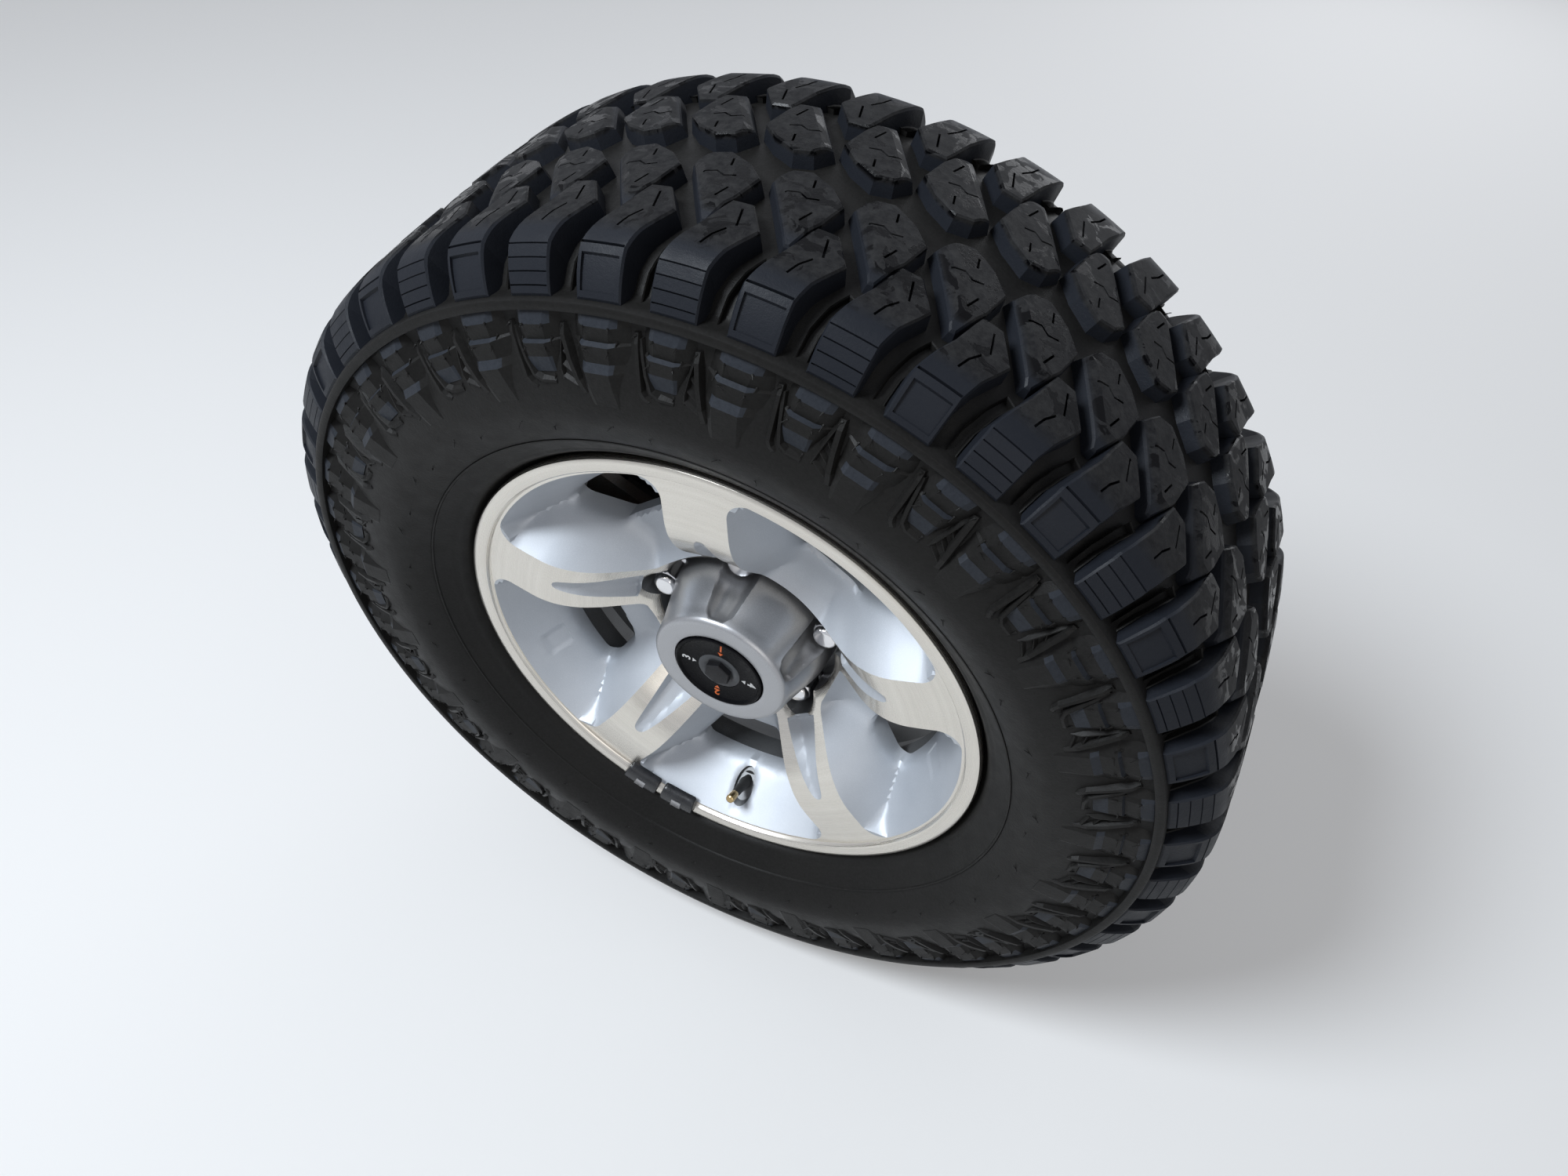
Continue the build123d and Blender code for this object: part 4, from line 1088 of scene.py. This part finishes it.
MACHINED_STEPS = 12
# Mark 2 is the dark barrel paint, painted shade, on all of the barrel past the machined lip
marks = [0] * MACHINED_STEPS + [2] * (len(barrel) - 1 - MACHINED_STEPS)
revolve(rim, barrel, 400, marks, closed=False)
rim_piece = make_object("rim_casting", rim, [MACHINED, PAINT, BACK_PAINTED_SHADE], smooth=30.0, merge=0.02, recalc=False)
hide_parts("rim")
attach(rim_piece, "wheel")

# Centre cap: a shroud with a flute at each nut
CAP_WALL = 3.0
CAP_DEPTHS = (12.0, 13.0, 15.0, 18.5, 24.0, 62.0, 86.0)
CAP_RADII = (54.0, 56.0, 57.6, 58.6, 59.6, 70.5, 72.0)


def cap_radius(depth, angle):
    """Outer radius of the cap's wall."""
    radius = np.interp(depth, CAP_DEPTHS, CAP_RADII)
    off = (angle - SPOKES[0] + SPOKE_STEP / 2) % SPOKE_STEP - SPOKE_STEP / 2
    half = np.interp(depth, (16.0, 24.0, 62.0, 86.0), (6.0, 11.5, 16.5, 17.0))
    dip = np.interp(depth, (16.0, 20.0, 30.0, 62.0, 86.0), (0.0, 4.5, 8.5, 13.0, 13.5))
    shape = np.clip(1 - abs(radius * sin(radians(off)) / half) ** 3, 0, 1)
    return radius - dip * shape**0.8


def cap_inner_radius(depth, angle):
    """The same of its inside, which ends in a round hole behind the front."""
    radius = cap_radius(depth, angle) - CAP_WALL
    return min(radius, 54.0) if depth < 17 else radius


cap_layers = [(38.8, 15.0), (38.8, 13.2), (39.2, 12.5), (40.0, 12.1), (46.0, 12.0), (52.0, 12.0)]
cap_layers += [(partial(cap_radius, depth), depth) for depth in (
    12.25, 12.9, 13.9, 15.0, 16.2, 17.6, 19.0, 20.6, 22.5, 25.0, 28.0, 32.0, 37.0, 43.0, 50.0, 57.0,
    64.0, 72.0, 79.0, 85.7,
)]
cap_layers += [(partial(cap_inner_radius, depth), depth) for depth in (85.7, 60.0, 40.0, 24.0, 16.0)]
cap = Shell()
cap.add(ringed(cap_layers, 720), lofted(len(cap_layers), 720, join=True))
cap_piece = make_object("centre_cap_shroud", cap, [CAP], smooth=40.0)
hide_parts("centre_cap")
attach(cap_piece, "wheel")

# Dial: gloss bezel with marks, grey collar and a hexagonal knob
dial = Shell()
revolve(dial, [
    (18.4, 13.2), (34, 13.2), (34.6, 12.9), (35.4, 11.6), (36.2, 11.1), (37.2, 11.1), (38, 11.9),
    (38, 18.9), (18.4, 18.9),
], 120)
collar = Shell()
revolve(collar, [
    (0, 13.9), (11.4, 13.9), (12.6, 13.2), (14, 13), (17.4, 13), (18.2, 13.4), (18.3, 14.6),
    (18.3, 18.9), (0, 18.9),
], 96)
knob_layers = [(0.0, 13.9), (11.6, 13.9), (11.6, 9.4), (11.0, 8.7), (9.6, 8.5), (0.0, 8.5)]
knob = Shell()
knob.add(ringed(knob_layers, 6, phase=20.0), lofted(len(knob_layers), 6))
dial_piece = make_object("dial_bezel", dial, [GLOSS])
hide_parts("dial_ring")
collar_piece = make_object("dial_collar", collar, [GREY])
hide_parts("dial_knob")
knob_piece = make_object("dial_hex_knob", knob, [KNOB], merge=0.01)
for piece in (dial_piece, collar_piece, knob_piece):
    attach(piece, "wheel")
# Numbers on the dial
MARK_R = 28.6
MARK_SIZE = 10.0
MARK_DEPTH = 13.1


def mark_at(name, text, angle, material):
    """A number on the dial with a small triangle beside it."""
    data = bpy.data.curves.new(name + "_text", "FONT")
    data.body = text
    data.size = MARK_SIZE / 1000.0
    data.extrude = 0.0001
    data.offset = 0.00022
    data.align_x = "CENTER"
    data.align_y = "CENTER"
    helper = bpy.data.objects.new(name + "_text", data)
    mesh = bpy.data.meshes.new_from_object(helper)
    bpy.data.objects.remove(helper)
    made = bpy.data.objects.new(name, mesh)
    bpy.context.scene.collection.objects.link(made)
    up, left = axes(angle)
    place = polar(MARK_R, angle) / 1000.0
    level = (MARK_DEPTH - KNUCKLE_DEPTH) / 1000.0
    work = bmesh.new()
    work.from_mesh(mesh)
    for vertex in work.verts:
        x, y, z = vertex.co
        across, height = place + y * up - x * left
        vertex.co = (across, level - z, height)
    foot, wide = (MARK_R - 5.2) * up, 2.2 * left
    corners = np.array([(MARK_R - 8.6) * up, foot + wide, foot - wide])
    upper, lower = (
        [work.verts.new(p) for p in to_frame(on_plan(corners, MARK_DEPTH + change))]
        for change in (-0.1, 0.05)
    )
    work.faces.new(upper)
    work.faces.new(lower[::-1])
    for k in range(3):
        work.faces.new((upper[k], lower[k], lower[(k + 1) % 3], upper[(k + 1) % 3]))
    bmesh.ops.recalc_face_normals(work, faces=work.faces)
    work.to_mesh(mesh)
    work.free()
    mesh.materials.clear()
    mesh.materials.append(material)
    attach(made, "wheel")


for name, text, angle, material in (
    ("dial_mark_a", "1", 84.0, ORANGE), ("dial_mark_b", "2", 264.0, ORANGE),
    ("dial_mark_c", "3", 174.0, WHITE), ("dial_mark_d", "4", 354.0, WHITE),
):
    mark_at(name, text, angle, material)

# Wheel nuts
NUT_SIDES = 48
NUT_HALF = 11.3


def hex_radius(limit, angle):
    """Radius of a hexagon with its corners cut off at a limit."""
    return min(limit, NUT_HALF / cos(radians((angle + 30.0) % 60.0 - 30.0)))


nut_layers = [
    (0, 57), (6.4, 57.05), (8.4, 57.5), (9.6, 58.5), (10.2, 59.8), (10.4, 61.4), (10.6, 62.6),
    (partial(hex_radius, 11.6), 63.2), (partial(hex_radius, 12.5), 64.2),
    (partial(hex_radius, 13.0), 65.6), (partial(hex_radius, 13.0), 81.0),
    (13.2, 81.6), (14.2, 82.4), (14.5, 83.2), (14.5, 86), (10, 86), (10, 98), (0, 98),
]
for index, angle in enumerate(SPOKES):
    nut = Shell()
    nut_points = ringed(nut_layers, NUT_SIDES, polar(NUT_CIRCLE_R, angle))
    nut.add(nut_points, lofted(len(nut_layers), NUT_SIDES))
    piece = make_object(f"wheel_nut_{index}", nut, [CHROME], smooth=28.0, merge=0.01)
    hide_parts("wheel_nuts")
    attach(piece, "wheel")


# Valve and balance weights
def turned_along(rows, base, tip, sides=32):
    """Body turned about the line from one point to another: rows are (radius, distance)."""
    base, tip = np.array(base), np.array(tip)
    axis = (tip - base) / np.linalg.norm(tip - base)
    stations = [(r, distance, 0.0) for r, distance in rows]
    body = Shell()
    body.add(tube(base, axis, (1.0, 0.0, 0.0), stations, sides), lofted(len(rows), sides))
    return body


valve_low, valve_high = polar(190.0, VALVE_ANGLE), polar(172.0, VALVE_ANGLE)
valve_line = ((valve_low[0], 41.0, valve_low[1]), (valve_high[0], 3.0, valve_high[1]))
stem = turned_along([
    (0, -3), (7.2, -3), (7.5, -2.2), (7.5, -0.4), (4.4, 0), (4.2, 4), (5.2, 6), (5.4, 9), (5, 12),
    (4.2, 16), (3.9, 28), (3.7, 30.5), (3.2, 31), (0, 31),
], *valve_line)
stem_piece = make_object("valve_stem", stem, [BLACK_RUBBER], smooth=40.0, merge=0.01)
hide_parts("valve")
tip_cap = turned_along([
    (0, 30.4), (3.9, 30.4), (4.1, 31), (4.1, 39.2), (3.7, 40.8), (2.6, 41.6), (0, 41.8),
], *valve_line, 12)
tip_piece = make_object("valve_cap", tip_cap, [BRASS], smooth=20.0, merge=0.01)
for piece in (stem_piece, tip_piece):
    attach(piece, "wheel")

# Sections are radius and depth; stations are degrees from the middle and the section's scale
WEIGHT_MIDDLE = np.array([206.0, 0.2])
WEIGHT_SECTION = smooth_line([
    (196.6, 4.8), (196.4, 2), (197.6, -1.6), (201, -4.2), (206, -5.4), (211.5, -5.4),
    (214.6, -3.6), (215.6, -0.6), (213, -0.4), (208, 0.3), (206.4, 1.6), (205.4, 4.4),
    (201, 4.7), (196.6, 4.8),
], 3)[:-1]
CLIP_SECTION = np.array([
    (203, -5.7), (212.6, -5.9), (215.4, -4.4), (217.4, -1.8), (220, -0.6), (220.9, 2.6),
    (220.9, 6), (220.2, 6), (220.2, 2.8), (219, 0.2), (216.6, -0.6), (214.4, -3.4),
    (212.2, -5), (203, -4.9),
])
WEIGHT_TURN = 4.55
half_stations = [(WEIGHT_TURN * share, scale) for share, scale in (
    (1, 0.8075), (0.975, 0.923), (0.92, 0.979), (0.8, 1), (0.6, 1), (0.3, 1),
)]
WEIGHT_STATIONS = [(-turn, scale) for turn, scale in half_stations] + [(0.0, 1.0), *half_stations[::-1]]
CLIP_STATIONS = [(-1.3, 1.0), (0.0, 1.0), (1.3, 1.0)]
for index, middle in enumerate((247.0, 257.5)):
    for name, section, stations, material in (
        (f"balance_weight_{index}", WEIGHT_SECTION, WEIGHT_STATIONS, WEIGHT),
        (f"weight_clip_{index}", CLIP_SECTION, CLIP_STATIONS, STEEL),
    ):
        points = []
        for turn, scale in stations:
            a = radians(middle + turn)
            for r, d in WEIGHT_MIDDLE + (section - WEIGHT_MIDDLE) * scale:
                points.append((r * cos(a), d, r * sin(a)))
        body = Shell()
        body.add(points, capped(len(stations), len(section)))
        piece = make_object(name, body, [material], smooth=40.0)
        if section is WEIGHT_SECTION:
            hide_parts("balance_weights")
        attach(piece, "wheel")

# Solids that keep their shape
for node, material in (
    ("hub", IRON), ("wheel_bearings", STEEL), ("brake_disc", DISC), ("stub_axle", STEEL),
    ("dust_shield", SHIELD), ("steering_knuckle", DARK_IRON), ("brake_caliper", IRON),
    ("brake_pads", PAD), ("locking_hub", LOCK),
):
    mesh = nodes[node].data
    mesh.materials.clear()
    mesh.materials.append(material)


# Stage, light and camera
FLOOR_HALF = 6.0
FLOOR_GAP = 0.001


def by_ray(graph, lit, seen):
    """One value for the rays that light the object, another for those that show the background."""
    ways = graph.node("ShaderNodeLightPath", {}).outputs
    shown = ways["Is Camera Ray"]
    for name in ("Is Glossy Ray", "Is Transmission Ray"):
        shown = graph.math("MAXIMUM", shown, ways[name])
    return graph.ramp(shown, 0.0, 1.0, lit, seen)


corners = [(x * FLOOR_HALF, y * FLOOR_HALF) for x, y in ((-1, -1), (1, -1), (1, 1), (-1, 1))]
floor_mesh = bpy.data.meshes.new("floor")
floor_mesh.from_pydata([(x, y, cad_low[2] - FLOOR_GAP) for x, y in corners], [], [(0, 1, 2, 3)])
floor = bpy.data.objects.new("floor", floor_mesh)
bpy.context.scene.collection.objects.link(floor)
floor_material = bpy.data.materials.new("floor_material")
floor_material.use_nodes = True
ground = Graph(floor_material.node_tree)
ground.set(Base_Color=by_ray(ground, 0.26, 0.66), Emission_Strength=by_ray(ground, 0.0, 0.20))
ground.set(Emission_Color=(1.0, 1.0, 1.0), Roughness=0.9)
floor_mesh.materials.append(floor_material)

world = bpy.data.worlds.new("studio")
bpy.context.scene.world = world
world.use_nodes = True
sky = Graph(world.node_tree, "Background")
sky.set(Color=(0.9, 0.93, 1.0), Strength=by_ray(sky, 0.22, 0.66))


def area_light(name, place, target, size, power, tint):
    data = bpy.data.lights.new(name, "AREA")
    data.shape = "DISK"
    data.size = size
    data.energy = power
    data.color = tint
    lamp = bpy.data.objects.new(name, data)
    lamp.location = place
    lamp.rotation_euler = (Vector(target) - Vector(place)).to_track_quat("-Z", "Y").to_euler()
    bpy.context.scene.collection.objects.link(lamp)


area_light("key", (-1.15, -1.35, 2.6), (0, -0.1, 0), 1.1, 96, (0.88, 0.94, 1.0))
area_light("fill", (1.6, -2.2, 0.9), (0, -0.1, 0), 1.8, 9, (1.0, 0.95, 0.88))
area_light("back", (0.5, 2.6, 0.9), (0, 0, 0), 1.6, 13, (0.95, 0.97, 1.0))

view = bpy.data.cameras.new("camera")
view.lens = 27.07
view.sensor_width = 36.0
camera = bpy.data.objects.new("camera", view)
camera.location = (0.28855, -0.70456, 0.73973)
forward = Vector((-0.28167, 0.60269, -0.74661))
camera.rotation_euler = forward.to_track_quat("-Z", "Y").to_euler()
bpy.context.scene.collection.objects.link(camera)
bpy.context.scene.camera = camera
bpy.context.scene.view_settings.view_transform = "Standard"
